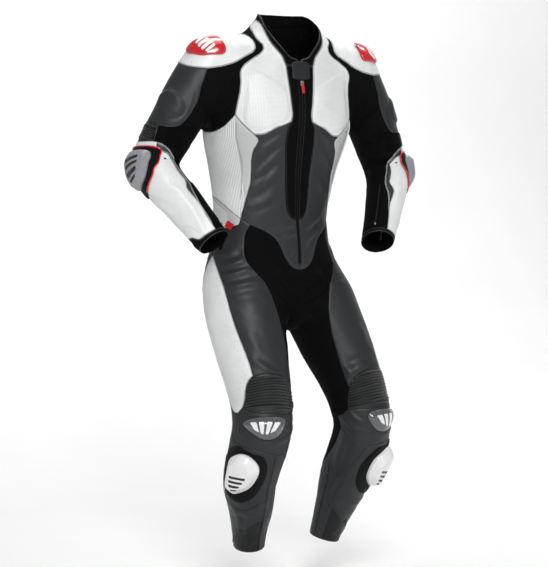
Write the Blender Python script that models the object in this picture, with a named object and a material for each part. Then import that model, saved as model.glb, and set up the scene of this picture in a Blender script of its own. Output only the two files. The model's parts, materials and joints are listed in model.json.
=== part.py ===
"""One-piece motorcycle race suit, held out in the shape of a standing rider.

The suit is drawn as a rider's outfitter would draft it. A few measured
sections give the plain form of the body, arms and legs. Seams are short rows
of places on that form. Each panel of leather or stretch cloth is the wall
inside a ring of seams, and the sliders, plates and zip lie on those panels.
The wearer's front faces -Y, the wearer's left is +X, and the origin is the
middle of the neck at its base. Tables are in millimetres and degrees.
"""

import math

import bmesh
import bpy
import numpy as np
from mathutils import Vector
from mathutils.geometry import delaunay_2d_cdt

MM = 0.001

# ---------------------------------------------------------------- driving sizes (mm)

WALL = 2.2                 # leather or stretch with its lining
SEAM_GAP = 0.3             # between neighbouring panels
CHORD = 0.8                # furthest a straight edge leaves its curved seam
LONGEST_EDGE = 52
RIB = 1.2                  # height of the fine ribs
PLEAT = 2.6                # height of the knee and elbow pleats
CUP_DOME = 10              # padding that stands up in the shoulder cup
CUP_SLOPE = 34             # from the cup's seam up to its crown
CUFF_MIDDLE = 672          # along the arm, where the cuff opens
CUFF_SLANT = 9
CUFF_LONGEST_AT = 237      # degrees round the arm
HEM = 886                  # along the leg, where the hem opens
SHARP_EDGE = 42            # degrees between faces from which an edge is a real one

# height, half width, front reach, back reach, squareness of each section
TORSO = (
    (110, 64, -106, 34, 2.0),
    (80, 67, -106, 35, 2.0),
    (60, 76, -106, 37, 2.0),
    (44, 90, -107, 41, 2.0),
    (20, 113, -108, 48, 2.0),
    (0, 138, -110, 58, 2.1),
    (-20, 160, -113, 72, 2.2),
    (-45, 176, -117, 86, 2.2),
    (-75, 188, -124, 100, 2.3),
    (-120, 196, -132, 110, 2.4),
    (-170, 198, -137, 117, 2.4),
    (-217, 194, -137, 118, 2.4),
    (-263, 186, -131, 114, 2.3),
    (-324, 173, -122, 106, 2.2),
    (-380, 163, -118, 100, 2.2),
    (-430, 157, -117, 98, 2.2),
    (-500, 164, -114, 104, 2.2),
    (-570, 176, -106, 116, 2.2),
    (-630, 172, -92, 118, 2.2),
    (-680, 130, -70, 96, 2.1),
    (-710, 70, -45, 60, 2.0),
    (-725, 25, -20, 35, 2.0),
)
# x, y, z on the middle line of the arm, then outer, front, inner and back radius
ARM = (
    (60, -28, -70, 20, 20, 20, 20),
    (140, -26, -56, 56, 64, 50, 64),
    (200, -22, -76, 74, 70, 60, 70),
    (246, -18, -130, 69, 67, 60, 67),
    (284, -10, -200, 66, 64, 60, 64),
    (318, 2, -262, 61, 60, 58, 60),
    (338, 6, -308, 57, 56, 54, 58),
    (328, -22, -352, 54, 53, 53, 55),
    (299, -54, -400, 50, 50, 50, 50),
    (268, -86, -452, 45, 45, 45, 45),
    (241, -112, -495, 42, 42, 42, 42),
    (218, -136, -535, 40, 40, 40, 40),
)
# the same for the leg
LEG = (
    (55, 0, -440, 20, 20, 20, 20),
    (80, 0, -510, 50, 50, 50, 50),
    (104, -6, -580, 82, 84, 70, 90),
    (122, -22, -643, 96, 98, 96, 102),
    (134, -45, -706, 92, 96, 98, 100),
    (142, -70, -760, 86, 92, 94, 94),
    (151, -108, -831, 78, 82, 82, 84),
    (158, -138, -898, 74, 76, 76, 76),
    (163, -150, -956, 74, 74, 74, 72),
    (162, -140, -1000, 76, 74, 64, 74),
    (158, -120, -1050, 74, 68, 54, 76),
    (151, -95, -1109, 68, 61, 53, 72),
    (141, -78, -1165, 55, 54, 50, 58),
    (131, -60, -1219, 44, 42, 43, 46),
    (121, -45, -1275, 38, 37, 38, 38),
    (112, -32, -1330, 36, 36, 36, 36),
)
# degrees round the arm, depth of the cuff there
CUFF_DEPTH = ((-140, 14), (-60, 22), (-15, 42), (12, 34), (32, 13), (80, 10), (220, 14))
# radius of the blend into the body, and where along the limb it starts and stops fading
ARM_BLEND = (55, 230, 330)
LEG_BLEND = (45, 330, 470)
SWING = 45                 # along a limb, reach over which its direction is levelled out
# along the limb, slope of the rays that carry a panel's points out to the form
ARM_RAYS = ((-60, 0), (50, 0), (170, 0.95), (350, 0), (900, 0))
LEG_RAYS = ((-60, 0), (20, 0), (170, 0.9), (330, 0), (1200, 0))
# along the leg, how far each leg is turned: the left one inward, the right one outward
LEG_TURN = ((0, 8), (500, 8), (600, 14), (680, 22), (800, 26), (1200, 26))
# height, turn of the body in degrees
TWIST = ((100, -3), (-240, -3), (-420, 6), (-560, 9), (-700, 7), (-950, 6), (-1400, 6))
# height, sideways lean of the body
LEAN = ((100, 11), (-80, 3), (-215, 0), (-430, -21), (-620, -3), (-760, 6), (-950, 2), (-1400, 2))
ARM_HEIGHT = -215          # arms follow the body's turn at this height
ARM_SIDE = (186, 200)      # distance from the middle where the arms take over
ARM_ABOVE = (-575, -555)   # height over which they do

# ---------------------------------------------------------------- seams
# Charts: B is the body (degrees round it from the front, height), A the arm and
# L the leg (degrees round from the outside by the front, distance along),
# C the body's middle line under the crotch (degrees down from the front, -).

CORNERS = {
    "collar_tip": ("B", 2.6, -46),
    "lapel_top": ("B", 20, -62),
    "neck_back": ("B", 180, 48),
    "collar_back": ("B", 180, 78),
    "neck_side": ("B", 98, 57),
    "strip_end": ("B", 100, 42),
    "raglan_top": ("B", 118, 30),
    "armhole_front": ("B", 64, -187),
    "chest_tip": ("B", 49, -236),
    "placket_side": ("B", 13.5, -203),
    "zip_top": ("B", 2.6, -62),
    "placket_end": ("B", 2.6, -447),
    "zip_end": ("B", 2.6, -556),
    "zip_middle_end": ("B", 0, -556),
    "point": ("B", 0, -572),
    "groin_top": ("B", 60, -459),
    "waist_side": ("B", 69, -444),
    "waist_low": ("B", 71, -458),
    "hip_back": ("B", 106, -385),
    "seat_side": ("B", 106, -472),
    "hip_low": ("B", 96, -470),
    "seat_top": ("B", 180, -500),
    "armhole_back": ("B", 116, -216),
    "armhole_low": ("B", 99, -224),
    "thigh_point": ("L", -4, 125),
    "groin_low": ("L", 92, 200),
    "crotch_front": ("C", 38, 0),
    "crotch_back": ("C", 128, 0),
    "thigh_corner": ("L", 49, 450),
    "pleat_inner": ("L", 134, 478),
    "knee_inner": ("L", 146, 526),
    "knee_outer": ("L", 20, 514),
    "outer_tip": ("L", -6, 520),
    "knee_back": ("L", 250, 548),
    "knee_side": ("L", -22, 545),
    "calf_top": ("L", 166, 572),
    "knee_turn": ("L", 173, 540),
    "calf_tip": ("L", 250, 800),
    "hem_back": ("L", 250, HEM),
    "cup_neck": ("A", -3, 66),
    "cup_tip": ("A", 62, 56.5),
    "cup_front": ("A", 66, 170),
    "cup_back": ("A", -20, 184),
    "upper_front": ("A", 36, 337),
    "upper_back": ("A", -35, 328),
    "elbow_front": ("A", 44, 376),
    "elbow_back": ("A", -35, 378),
    "wrist_front": ("A", 100, None),
    "wrist_back": ("A", -42, None),
    "wrist_under": ("A", 220, None),
    "cuff_under": ("A", 220, "open"),
}

# from corner, to corner, chart, places between
SEAMS = {
    "collar_free": ("collar_tip", "collar_back", "B",
                    ((14, -40), (26, -20), (42, 6), (60, 36), (80, 60), (100, 72), (135, 76))),
    "collar_end": ("collar_tip", "zip_top", "B", ()),
    "collar_placket": ("zip_top", "lapel_top", "B", ()),
    "collar_lapel": ("lapel_top", "neck_side", "B",
                     ((26, -39), (35, -22), (45, -4), (56, 19), (68, 40), (82, 51))),
    "collar_nape": ("neck_side", "neck_back", "B", ((130, 54),)),
    "strip_top": ("neck_side", "strip_end", "B", ()),
    "raglan_neck": ("strip_end", "raglan_top", "B", ()),
    "raglan_front": ("strip_end", "armhole_front", "B",
                     ((73, 20), (60, 0), (52, -13), (50, -21), (50.5, -29), (55, -44),
                      (59, -62), (60.5, -78), (60.5, -102), (61, -127), (62.5, -158))),
    "chest_flank": ("armhole_front", "chest_tip", "B", ((59, -208),)),
    "chest_low": ("chest_tip", "placket_side", "B", ((43, -236), (30, -219))),
    "lapel": ("placket_side", "lapel_top", "B",
              ((12, -190), (13.6, -157), (16.6, -107), (18.7, -78))),
    "placket_edge": ("placket_side", "placket_end", "B",
                     ((16.5, -216), (18.5, -245), (18.5, -320), (18, -390), (16.5, -422), (12, -438))),
    "zip_upper": ("zip_top", "placket_end", "B", ((2.6, -200), (2.6, -320))),
    "zip_lower": ("placket_end", "zip_end", "B", ((2.6, -500),)),
    "zip_foot": ("zip_end", "zip_middle_end", "B", ()),
    "point_split": ("zip_middle_end", "point", "B", ()),
    "point_edge": ("point", "groin_top", "B",
                   ((9, -569), (18, -557), (24, -540), (29, -515), (35, -494), (44, -478))),
    "groin_waist": ("groin_top", "waist_side", "B", ()),
    "abdomen_flank": ("chest_tip", "waist_side", "B",
                      ((46, -247), (51, -274), (54, -300), (55, -325), (57, -355), (61, -385), (65, -412))),
    "hip_upper": ("waist_side", "hip_back", "B", ((82, -417), (95, -394))),
    "hip_front": ("waist_side", "waist_low", "B", ()),
    "hip_lower": ("waist_low", "hip_low", "B", ((82, -465),)),
    "hip_seat": ("hip_low", "seat_side", "B", ()),
    "hip_rear": ("hip_back", "seat_side", "B", ()),
    "back_flank": ("armhole_back", "hip_back", "B", ((112, -290), (107, -350))),
    "back_seat": ("seat_side", "seat_top", "B", ((140, -490),)),
    "raglan_back": ("raglan_top", "armhole_back", "B",
                    ((124, 0), (127, -40), (126, -100), (124, -160), (121, -200))),
    "armhole_fore": ("armhole_front", "armhole_low", "B", ((73, -214), (84, -226))),
    "armhole_rear": ("armhole_low", "armhole_back", "B", ((107, -221),)),
    "thigh_rear": ("hip_low", "thigh_point", "L", ((-16, 90),)),
    "thigh_edge": ("thigh_point", "thigh_corner", "L",
                   ((8, 155), (17, 180), (25, 205), (30, 232), (35, 280), (39, 330), (43, 380),
                    (48, 430))),
    "groin_thigh": ("groin_top", "groin_low", "L", ((57, 60), (56, 100), (61, 140), (80, 180))),
    "inner_thigh": ("groin_low", "pleat_inner", "L",
                    ((104, 240), (114, 280), (121, 320), (127, 360), (131, 400), (134, 440))),
    "groin_inner": ("groin_low", "crotch_front", "B", ((22, -652),)),
    "crotch": ("crotch_front", "crotch_back", "C", ((60, 0), (83, 0), (106, 0))),
    "seat_split": ("seat_top", "crotch_back", "B", ((180, -560), (180, -620))),
    "seat_inner": ("crotch_back", "knee_back", "L",
                   ((222, 260), (236, 320), (246, 400), (250, 480))),
    "outer_rear": ("outer_tip", "thigh_point", "L",
                   ((-24, 500), (-36, 460), (-43, 400), (-46, 320), (-43, 240), (-33, 180),
                    (-18, 142))),
    "outer_pleat": ("thigh_corner", "knee_outer", "L", ((38, 460), (30, 478), (26, 498))),
    "outer_foot": ("knee_outer", "outer_tip", "L", ((6, 524),)),
    "pleat_top": ("thigh_corner", "pleat_inner", "L", ((80, 450), (106, 455), (122, 464))),
    "pleat_side": ("pleat_inner", "knee_inner", "L", ((142, 500),)),
    "pleat_low": ("knee_inner", "knee_outer", "L", ((120, 530), (80, 531), (44, 527))),
    "cup_thigh": ("knee_inner", "knee_turn", "L", ((160, 535),)),
    "cup_calf": ("knee_turn", "calf_top", "L", ()),
    "cup_seat": ("outer_tip", "knee_side", "L", ((-17, 529),)),
    "cup_shin": ("calf_top", "knee_side", "L",
                 ((140, 590), (110, 601), (70, 594), (30, 591), (5, 584), (-14, 569))),
    "thigh_calf": ("knee_turn", "knee_back", "L", ((210, 548),)),
    "seat_shin": ("knee_back", "knee_side", "L", ((-84, 550), (-54, 551))),
    "calf_front": ("calf_top", "calf_tip", "L", ((177, 612), (192, 664), (210, 715), (230, 765))),
    "calf_rear": ("knee_back", "calf_tip", "L", ((250, 660), (250, 740))),
    "shin_rear": ("calf_tip", "hem_back", "L", ()),
    "raglan_ridge": ("raglan_top", "cup_neck", "A", ()),
    "cup_neck_front": ("cup_neck", "cup_tip", "A", ((19, 65), (35, 62), (52, 57))),
    "cup_fore": ("cup_tip", "cup_front", "A", ((71, 63), (77, 76), (86, 105), (86, 125), (80, 149))),
    "cup_low": ("cup_front", "cup_back", "A", ((50, 181), (27, 189), (0, 188))),
    "cup_rear": ("cup_back", "cup_neck", "A",
                 ((-45, 168), (-62, 132), (-60, 104), (-36, 80))),
    "upper_fore": ("cup_front", "upper_front", "A",
                   ((73, 190), (78, 213), (86, 235), (88, 258), (86, 285), (77, 315), (56, 330))),
    "upper_low": ("upper_front", "upper_back", "A", ((22, 335), (0, 336), (-20, 333))),
    "upper_rear": ("upper_back", "cup_back", "A", ((-40, 290), (-38, 230))),
    "pleats_fore": ("upper_front", "elbow_front", "A", ()),
    "pleats_low": ("elbow_front", "elbow_back", "A", ((20, 382), (0, 384), (-18, 383))),
    "pleats_rear": ("upper_back", "elbow_back", "A", ()),
    "forearm_fore": ("elbow_front", "wrist_front", "A",
                     ((62, 373), (86, 380), (106, 402), (120, 432), (131, 466), (138, 502),
                      (134, 524), (123, 546), (115, 580), (107, 610))),
    "forearm_rear": ("elbow_back", "wrist_back", "A",
                     ((-48, 402), (-52, 450), (-50, 520), (-46, 600))),
    "under_arm": ("armhole_low", "wrist_under", "A",
                  ((218, 300), (220, 350), (220, 420), (220, 500), (220, 580))),
    "cuff_sleeve": ("wrist_front", "wrist_under", "A", "cuff"),
    "cuff_forearm": ("wrist_back", "wrist_front", "A", "cuff"),
    "cuff_back": ("wrist_under", "wrist_back", "A", "cuff"),
    "cuff_join": ("wrist_under", "cuff_under", "A", ()),
    "cuff_open": ("cuff_under", "cuff_under", "A", "open"),
    "hem": ("hem_back", "hem_back", "L", "hem"),
}

# panel, chart its points are spread in, seams round it, material
SIDE_PANELS = (
    ("chest", "B", ("collar_lapel", "strip_top", "raglan_front", "chest_flank", "chest_low",
                    "lapel"), "white_leather"),
    ("flank", "B", ("chest_flank", "armhole_fore", "armhole_rear", "back_flank", "hip_upper",
                    "abdomen_flank"), "white_leather"),
    ("hip_ribs", "B", ("hip_upper", "hip_rear", "hip_seat", "hip_lower", "hip_front"),
     "white_leather"),
    ("abdomen", "B", ("chest_low", "abdomen_flank", "groin_waist", "point_edge", "point_split",
                      "zip_foot", "zip_lower", "placket_edge"), "dark_leather"),
    ("placket", "B", ("collar_placket", "lapel", "placket_edge", "zip_upper"), "black_stretch"),
    ("thigh_front", "L", ("groin_waist", "hip_front", "hip_lower", "thigh_rear", "thigh_edge",
                          "pleat_top", "inner_thigh", "groin_thigh"), "dark_leather"),
    ("thigh_outer", "L", ("thigh_edge", "outer_pleat", "outer_foot", "outer_rear"),
     "white_leather"),
    ("thigh_inner", "L", ("groin_inner", "crotch", "seat_inner", "thigh_calf", "cup_thigh",
                          "pleat_side", "inner_thigh"), "black_stretch"),
    ("seat", "L", ("back_seat", "hip_seat", "thigh_rear", "outer_rear", "cup_seat", "seat_shin",
                   "seat_inner", "seat_split"), "dark_leather"),
    ("knee_pleats", "L", ("pleat_top", "pleat_side", "pleat_low", "outer_pleat"),
     "black_stretch"),
    ("knee_cup", "L", ("pleat_low", "cup_thigh", "cup_calf", "cup_shin", "cup_seat",
                       "outer_foot"), "dark_leather"),
    ("shin", "L", ("cup_shin", "seat_shin", "calf_rear", "shin_rear", "hem", "shin_rear",
                   "calf_front"), "dark_leather"),
    ("calf", "L", ("cup_calf", "thigh_calf", "calf_rear", "calf_front"), "black_stretch"),
    ("sleeve_front", "A", ("raglan_neck", "raglan_front", "armhole_fore", "under_arm",
                           "cuff_sleeve", "forearm_fore", "pleats_fore", "upper_fore",
                           "cup_fore", "cup_neck_front", "raglan_ridge"), "black_stretch"),
    ("sleeve_back", "A", ("raglan_ridge", "cup_rear", "upper_rear", "pleats_rear",
                          "forearm_rear", "cuff_back", "under_arm", "armhole_rear",
                          "raglan_back"), "black_stretch"),
    ("shoulder_cup", "A", ("cup_fore", "cup_low", "cup_rear", "cup_neck_front"),
     "white_leather"),
    ("sleeve_outer", "A", ("cup_low", "upper_fore", "upper_low", "upper_rear"),
     "dark_leather"),
    ("elbow_pleats", "A", ("upper_low", "pleats_fore", "pleats_low", "pleats_rear"),
     "black_stretch"),
    ("forearm", "A", ("pleats_low", "forearm_fore", "cuff_forearm", "forearm_rear"),
     "white_leather"),
    ("cuff", "A", ("cuff_back", "cuff_forearm", "cuff_sleeve", "cuff_join", "cuff_open",
                   "cuff_join"), "black_stretch"),
)

# the same for panels that cross the middle: seam and side, the left side first
MIDDLE_PANELS = (
    ("collar", "B", 0, (("collar_end", 1), ("collar_free", 1), ("collar_free", -1),
                        ("collar_end", -1), ("collar_placket", -1), ("collar_lapel", -1),
                        ("collar_nape", -1), ("collar_nape", 1), ("collar_lapel", 1),
                        ("collar_placket", 1)), "black_stretch"),
    ("back", "B", 180, (("collar_nape", 1), ("strip_top", 1), ("raglan_neck", 1),
                        ("raglan_back", 1), ("back_flank", 1), ("hip_rear", 1),
                        ("back_seat", 1), ("back_seat", -1), ("hip_rear", -1),
                        ("back_flank", -1), ("raglan_back", -1), ("raglan_neck", -1),
                        ("strip_top", -1), ("collar_nape", -1)), "dark_leather"),
    ("groin", "B", 0, (("point_edge", 1), ("groin_thigh", 1), ("groin_inner", 1),
                       ("groin_inner", -1), ("groin_thigh", -1), ("point_edge", -1)),
     "black_stretch"),
    ("main_zip", "B", 0, (("zip_upper", 1), ("zip_lower", 1), ("zip_foot", 1),
                          ("zip_foot", -1), ("zip_lower", -1), ("zip_upper", -1)), "zip_black"),
)


# Ribs and pleats: panel, count, height, first and last reading of the valleys beside
# them, and which reading of the panel's chart they follow
RIBS = (
    ("flank", 30, RIB, 64, 108, "angle"),
    ("knee_pleats", 12, PLEAT, 456, 526, "place"),
    ("elbow_pleats", 7, PLEAT, 341, 377, "place"),
)
# the fan of ribs above the hip: count, degrees and height of its point, degrees and
# heights of its wide end, and how near the point the ribs die out
HIP_FAN = {"count": 9, "point": (68, -450), "wide_at": 108, "top": -388, "bottom": -474,
           "fades": 0.34}
# the ribs of the armpit follow the armhole: count and spacing
ARMPIT_RIBS = (6, 5.5)
# raised pads: panel, height, bevel, outline in the panel's chart
PADS = (
    ("chest", 3.5, 9, ((56, -68), (38, -92), (20, -118), (16, -160), (16, -196), (29, -212),
                       (43, -228), (50, -226), (58, -205), (57, -150), (57, -100))),
    ("sleeve_outer", 6.0, 14, ((14, 243), (42, 245), (66, 262), (73, 288), (58, 306),
                               (33, 315), (7, 306), (-12, 288), (-14, 262))),
)
# creases: panel, height, places along the crest in the panel's chart
FOLDS = (
    ("abdomen", 2.4, ((44, -300), (32, -322), (21, -352))),
    ("abdomen", 2.0, ((52, -352), (40, -374), (26, -410))),
    ("abdomen", 2.2, ((46, -430), (34, -448), (22, -480))),
    ("thigh_front", 3.0, ((22, 84), (36, 100), (50, 104))),
    ("thigh_front", 2.6, ((6, 60), (26, 66), (48, 60))),
    ("thigh_front", 2.4, ((46, 250), (72, 270), (98, 262))),
    ("seat", 3.0, ((250, 240), (275, 262), (305, 258))),
    ("seat", 2.6, ((262, 420), (285, 432), (310, 424))),
    ("thigh_inner", 2.6, ((150, 300), (180, 318), (214, 306))),
    ("shin", 2.4, ((20, 772), (52, 790), (88, 780))),
    ("shin", 2.0, ((120, 700), (132, 742), (140, 790))),
    ("shin", 2.2, ((-60, 620), (-72, 668), (-66, 720))),
    ("sleeve_front", 3.0, ((110, 250), (124, 282), (150, 300))),
    ("sleeve_front", 2.6, ((102, 330), (128, 342), (160, 338))),
    ("sleeve_front", 2.0, ((150, 400), (165, 440), (180, 470))),
    ("sleeve_back", 3.0, ((270, 240), (288, 262), (306, 258))),
    ("sleeve_back", 2.4, ((250, 340), (275, 350), (298, 344))),
    ("forearm", 2.0, ((20, 560), (50, 570), (78, 560))),
    ("forearm", 1.8, ((92, 440), (100, 480), (96, 520))),
)

# Pieces that lie on the panels: chart, lift off the form, height at the edge and at the
# crown, bevel, spacing of its points, material, outline in the chart
PIECES = {
    "shoulder_slider": ("A", 2.0, 2.5, 8, 9, (16, 17), "red_plastic",
                        ((-3, 160), (-4, 142), (3, 126), (20, 117), (45, 116), (60, 121),
                         (63, 131), (51, 150), (38, 162), (17, 168), (4, 167))),
    "elbow_pad": ("A", 1.3, 2.0, 3.5, 5, (17, 18), "hook_pad",
                  ((-30, 398), (17, 395), (54, 390), (66, 391), (73, 402), (72, 436),
                   (58, 452), (43, 466), (8, 480), (-20, 488), (-38, 468), (-42, 420))),
    "elbow_slider": ("A", 8.4, 5.0, 14, 12, (16, 16), "grey_plastic",
                     ((-24, 410), (16, 403), (42, 403), (52, 411), (52, 424), (42, 444),
                      (28, 459), (-8, 467), (-25, 461), (-31, 438))),
    "knee_plate": ("L", 2.2, 3.4, 11, 10, (20, 14), "grey_plastic",
                   ((26, 549), (37, 539), (67, 536), (100, 537), (109, 546), (99, 562),
                    (87, 571), (68, 573), (48, 565))),
    "slider_pad": ("L", 1.3, 1.8, 2.6, 5, (21, 24), "hook_pad",
                   ((-12, 655), (-4, 614), (18, 595), (51, 602), (74, 606), (88, 632),
                    (90, 668), (78, 712), (51, 735), (21, 732), (-8, 708))),
    "knee_slider": ("L", 5.9, 7.0, 22, 16, (20, 20), "white_plastic",
                    ((18, 700), (14, 658), (15, 626), (27, 610), (40, 606), (54, 610),
                     (69, 624), (73, 645), (65, 682), (42, 708), (28, 708))),
}
# panels on which a piece lies, and the piece
BEDS = {"forearm": "elbow_pad", "shin": "slider_pad", "knee_cup": "knee_plate"}
NECK_TAB = ("B", 1.0, 1.4, 2.0, 4, (20, 22), "black_stretch",
            ((-11, -54), (-12, -76), (-11, -95), (0, -97), (11, -95), (13, -76), (12, -54)))

# zip slider and pull: place down the front, then sizes in mm
ZIP_AT = -106
SLIDER_BODY = (9.0, 3.4, 13.0)           # across, out, down
BRIDGE = {"wide": 1.8, "thick": 1.1, "gap": 2.6, "feet": (2.6, -3.2), "foot": 1.2}
PULL = {"thick": 1.2, "bar": 0.6, "window": (1.8, 5.0), "arm": 1.2, "wide": 4.2, "long": 27}


# ---------------------------------------------------------------- plain form of the suit

def ramp(x, a, b):
    t = np.clip((x - a) / (b - a), 0, 1)
    return t * t * (3 - 2 * t)


def curve(places, rows, at):
    """Smooth curve through rows, which stand at rising places, read at other places."""
    places = np.asarray(places, float)
    rows = np.asarray(rows, float)
    slope = np.gradient(rows, places, axis=0)
    at = np.clip(at, places[0], places[-1])
    i = np.clip(np.searchsorted(places, at, side="right") - 1, 0, len(places) - 2)
    gap = (places[i + 1] - places[i])[:, None]
    t = (at[:, None] - places[i][:, None]) / gap
    start = (2 * t**3 - 3 * t**2 + 1) * rows[i] + (t**3 - 2 * t**2 + t) * slope[i] * gap
    end = (3 * t**2 - 2 * t**3) * rows[i + 1] + (t**3 - t**2) * slope[i + 1] * gap
    return start + end


def steps(table, at):
    """Straight-line reading of a short table of pairs, rising or falling."""
    rows = sorted(table)
    return np.interp(at, [row[0] for row in rows], [row[1] for row in rows])


def dot(a, b):
    return np.einsum("ij,ij->i", a, b)


def unit(a):
    return a / np.maximum(np.linalg.norm(a, axis=-1, keepdims=True), 1e-9)


def body_section(z):
    rows = np.array(sorted(TORSO), float)
    half, front, back, square = curve(rows[:, 0], rows[:, 1:], z).T
    return half, (front + back) / 2, (back - front) / 2, square


def section_distance(p, z):
    half, middle, depth, square = body_section(z)
    x = np.abs(p[:, 0]) / half
    y = np.abs(p[:, 1] - middle) / depth
    reach = (x**square + y**square) ** (1 / square) + 1e-9
    return (reach - 1) * np.hypot(p[:, 0], p[:, 1] - middle) / reach


def body_distance(p):
    z = p[:, 2]
    here = section_distance(p, z)
    slope = (section_distance(p, z + 4) - section_distance(p, z - 4)) / 8
    flat = here / np.sqrt(1 + slope**2)
    below = min(row[0] for row in TORSO) - z
    return np.where(below > 0, np.hypot(np.maximum(flat, 0), below), flat)


class Limb:
    """An arm or leg: four-radius sections along a smooth middle line."""

    def __init__(self, rows, rays, turn=((0, 0), (1, 0))):
        rows = np.array(rows, float)
        lengths = np.linalg.norm(np.diff(rows[:, :3], axis=0), axis=1)
        along = np.concatenate([[0], np.cumsum(lengths)])
        fine = curve(along, rows, np.linspace(0, along[-1], 3 * (len(rows) - 1) + 1))
        first = 2 * fine[0] - fine[2]
        fine = np.vstack([first, fine])
        line = fine[:, :3]
        lengths = np.linalg.norm(np.diff(line, axis=0), axis=1)
        self.place = np.concatenate([[0], np.cumsum(lengths)]) - lengths[0]
        self.line = line
        self.radii = np.maximum(fine[:, 3:], 1)
        ends = [np.clip(self.place + step, self.place[0], self.place[-1])
                for step in (-SWING, SWING)]
        back, ahead = [np.stack([np.interp(end, self.place, line[:, k]) for k in range(3)], 1)
                       for end in ends]
        self.along = unit(ahead - back)
        front = np.array([0.0, -1.0, 0.0])
        self.front = unit(front - (self.along @ front)[:, None] * self.along)
        self.out = np.cross(self.front, self.along)
        self.rays = rays
        self.turn = turn

    def frame(self, v):
        parts = (self.line, self.along, self.front, self.out, self.radii)
        return [np.stack([np.interp(v, self.place, part[:, k]) for k in range(part.shape[1])], 1)
                for part in parts]

    def nearest(self, p):
        edge = np.diff(self.line, axis=0)
        gap = p[:, None] - self.line[:-1]
        t = np.clip((gap * edge).sum(2) / (edge**2).sum(1), 0, 1)
        gap -= t[..., None] * edge
        i = (gap**2).sum(2).argmin(1)
        return self.place[i] + t[np.arange(len(p)), i] * np.diff(self.place)[i]

    def distance(self, p):
        v = self.nearest(p)
        line, _, front, out, radii = self.frame(v)
        gap = p - line
        angle = np.arctan2(dot(gap, front), dot(gap, out))
        c, s = np.cos(angle), np.sin(angle)
        wide = np.where(c > 0, radii[:, 0], radii[:, 2])
        deep = np.where(s > 0, radii[:, 1], radii[:, 3])
        return np.linalg.norm(gap, axis=1) - np.hypot(c * wide, s * deep), v

    def ray(self, angle, v, side, slanted):
        turned = np.radians(angle + side * steps(self.turn, v))
        line, along, front, out, _ = self.frame(v)
        ray = np.cos(turned)[:, None] * out + np.sin(turned)[:, None] * front
        if slanted:
            ray = ray + steps(self.rays, v)[:, None] * along
        return line, unit(ray)

    def flat(self, p, side, slanted):
        """Angle and place along the limb whose ray passes through each point."""
        low = np.full(len(p), self.place[0])
        high = np.full(len(p), self.place[-1])
        for _ in range(30):
            v = (low + high) / 2
            line, along, *_ = self.frame(v)
            gap = p - line
            ahead = dot(gap, along)
            across = np.sqrt(np.maximum(dot(gap, gap) - ahead**2, 0))
            past = ahead > across * steps(self.rays, v) * slanted
            low = np.where(past, v, low)
            high = np.where(past, high, v)
        line, _, front, out, _ = self.frame(v)
        gap = p - line
        angle = np.degrees(np.arctan2(dot(gap, front), dot(gap, out)))
        return angle - side * steps(self.turn, v), v


arm = Limb(ARM, ARM_RAYS)
leg = Limb(LEG, LEG_RAYS, LEG_TURN)


def join(a, b, radius):
    near = np.maximum(radius - np.abs(a - b), 0) / radius
    return np.minimum(a, b) - near**2 * radius / 4


def fading(v, blend):
    radius, full, gone = blend
    return radius * (1 - ramp(v, full, gone)) + 0.1


def distance(p):
    """How far points are outside the plain suit, in mm; it is alike on both sides."""
    q = p.copy()
    q[:, 0] = np.abs(q[:, 0])
    far = body_distance(q)
    high = q[:, 2] > -620
    if high.any():
        to_arm, v = arm.distance(q[high])
        far[high] = join(far[high], to_arm, fading(v, ARM_BLEND))
    low = q[:, 2] < -360
    if low.any():
        here = q[low]
        to_leg, v = leg.distance(here)
        other, _ = leg.distance(here * [-1, 1, 1])
        radius = fading(v, LEG_BLEND)
        far[low] = join(far[low], join(to_leg, other, radius), radius)
    return far


def normals(p):
    step = 1.5
    tips = [distance(p + step * axis) - distance(p - step * axis) for axis in np.eye(3)]
    return unit(np.stack(tips, 1))


def cast(start, ray):
    reach = np.full(len(start), 20.0)
    for _ in range(26):
        reach -= 0.9 * distance(start + reach[:, None] * ray)
    return start + reach[:, None] * ray


def body_ray(angle, z):
    turned = np.radians(angle)
    start = np.stack([0 * z, body_section(z)[1], z], 1)
    return start, np.stack([np.sin(turned), -np.cos(turned), 0 * z], 1)


def crotch_ray(angle):
    turned = np.radians(angle)
    start = np.tile([0.0, 0.0, -620.0], (len(angle), 1))
    return start, np.stack([0 * turned, -np.cos(turned), -np.sin(turned)], 1)


def on_form(chart, angle, place, side=1, slanted=False):
    """Points of the plain form from chart readings, on the +X half."""
    angle = np.asarray(angle, float)
    place = np.asarray(place, float)
    if chart == "B":
        return cast(*body_ray(angle, place))
    if chart == "C":
        return cast(*crotch_ray(angle))
    limb = arm if chart == "A" else leg
    return cast(*limb.ray(angle, place, side, slanted))


def chart_of(chart, p, side=1, slanted=False):
    """Chart readings of points, the other way round."""
    if chart == "B":
        middle = body_section(p[:, 2])[1]
        return np.degrees(np.arctan2(p[:, 0], middle - p[:, 1])), p[:, 2].copy()
    if chart == "C":
        return np.degrees(np.arctan2(-620 - p[:, 2], -p[:, 1])), 0 * p[:, 2]
    limb = arm if chart == "A" else leg
    return limb.flat(p, side, slanted)


def cuff_place(angle):
    return CUFF_MIDDLE + CUFF_SLANT * np.cos(np.radians(angle - CUFF_LONGEST_AT))


def cuff_depth(angle):
    return steps(CUFF_DEPTH, (np.asarray(angle) + 140) % 360 - 140)


def stance(p, chart=""):
    """The suit turned and leant into the way it hangs in the round."""
    z = p[:, 2]
    wide = np.abs(p[:, 0])
    armed = ramp(wide, *ARM_SIDE) * ramp(z, *ARM_ABOVE) * (chart != "L")
    height = z + armed * (np.maximum(z, ARM_HEIGHT) - z)
    turned = np.radians(steps(TWIST, height))
    c, s = np.cos(turned), np.sin(turned)
    x = c * p[:, 0] - s * p[:, 1] + steps(LEAN, height)
    return np.stack([x, s * p[:, 0] + c * p[:, 1], z], 1)


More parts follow.
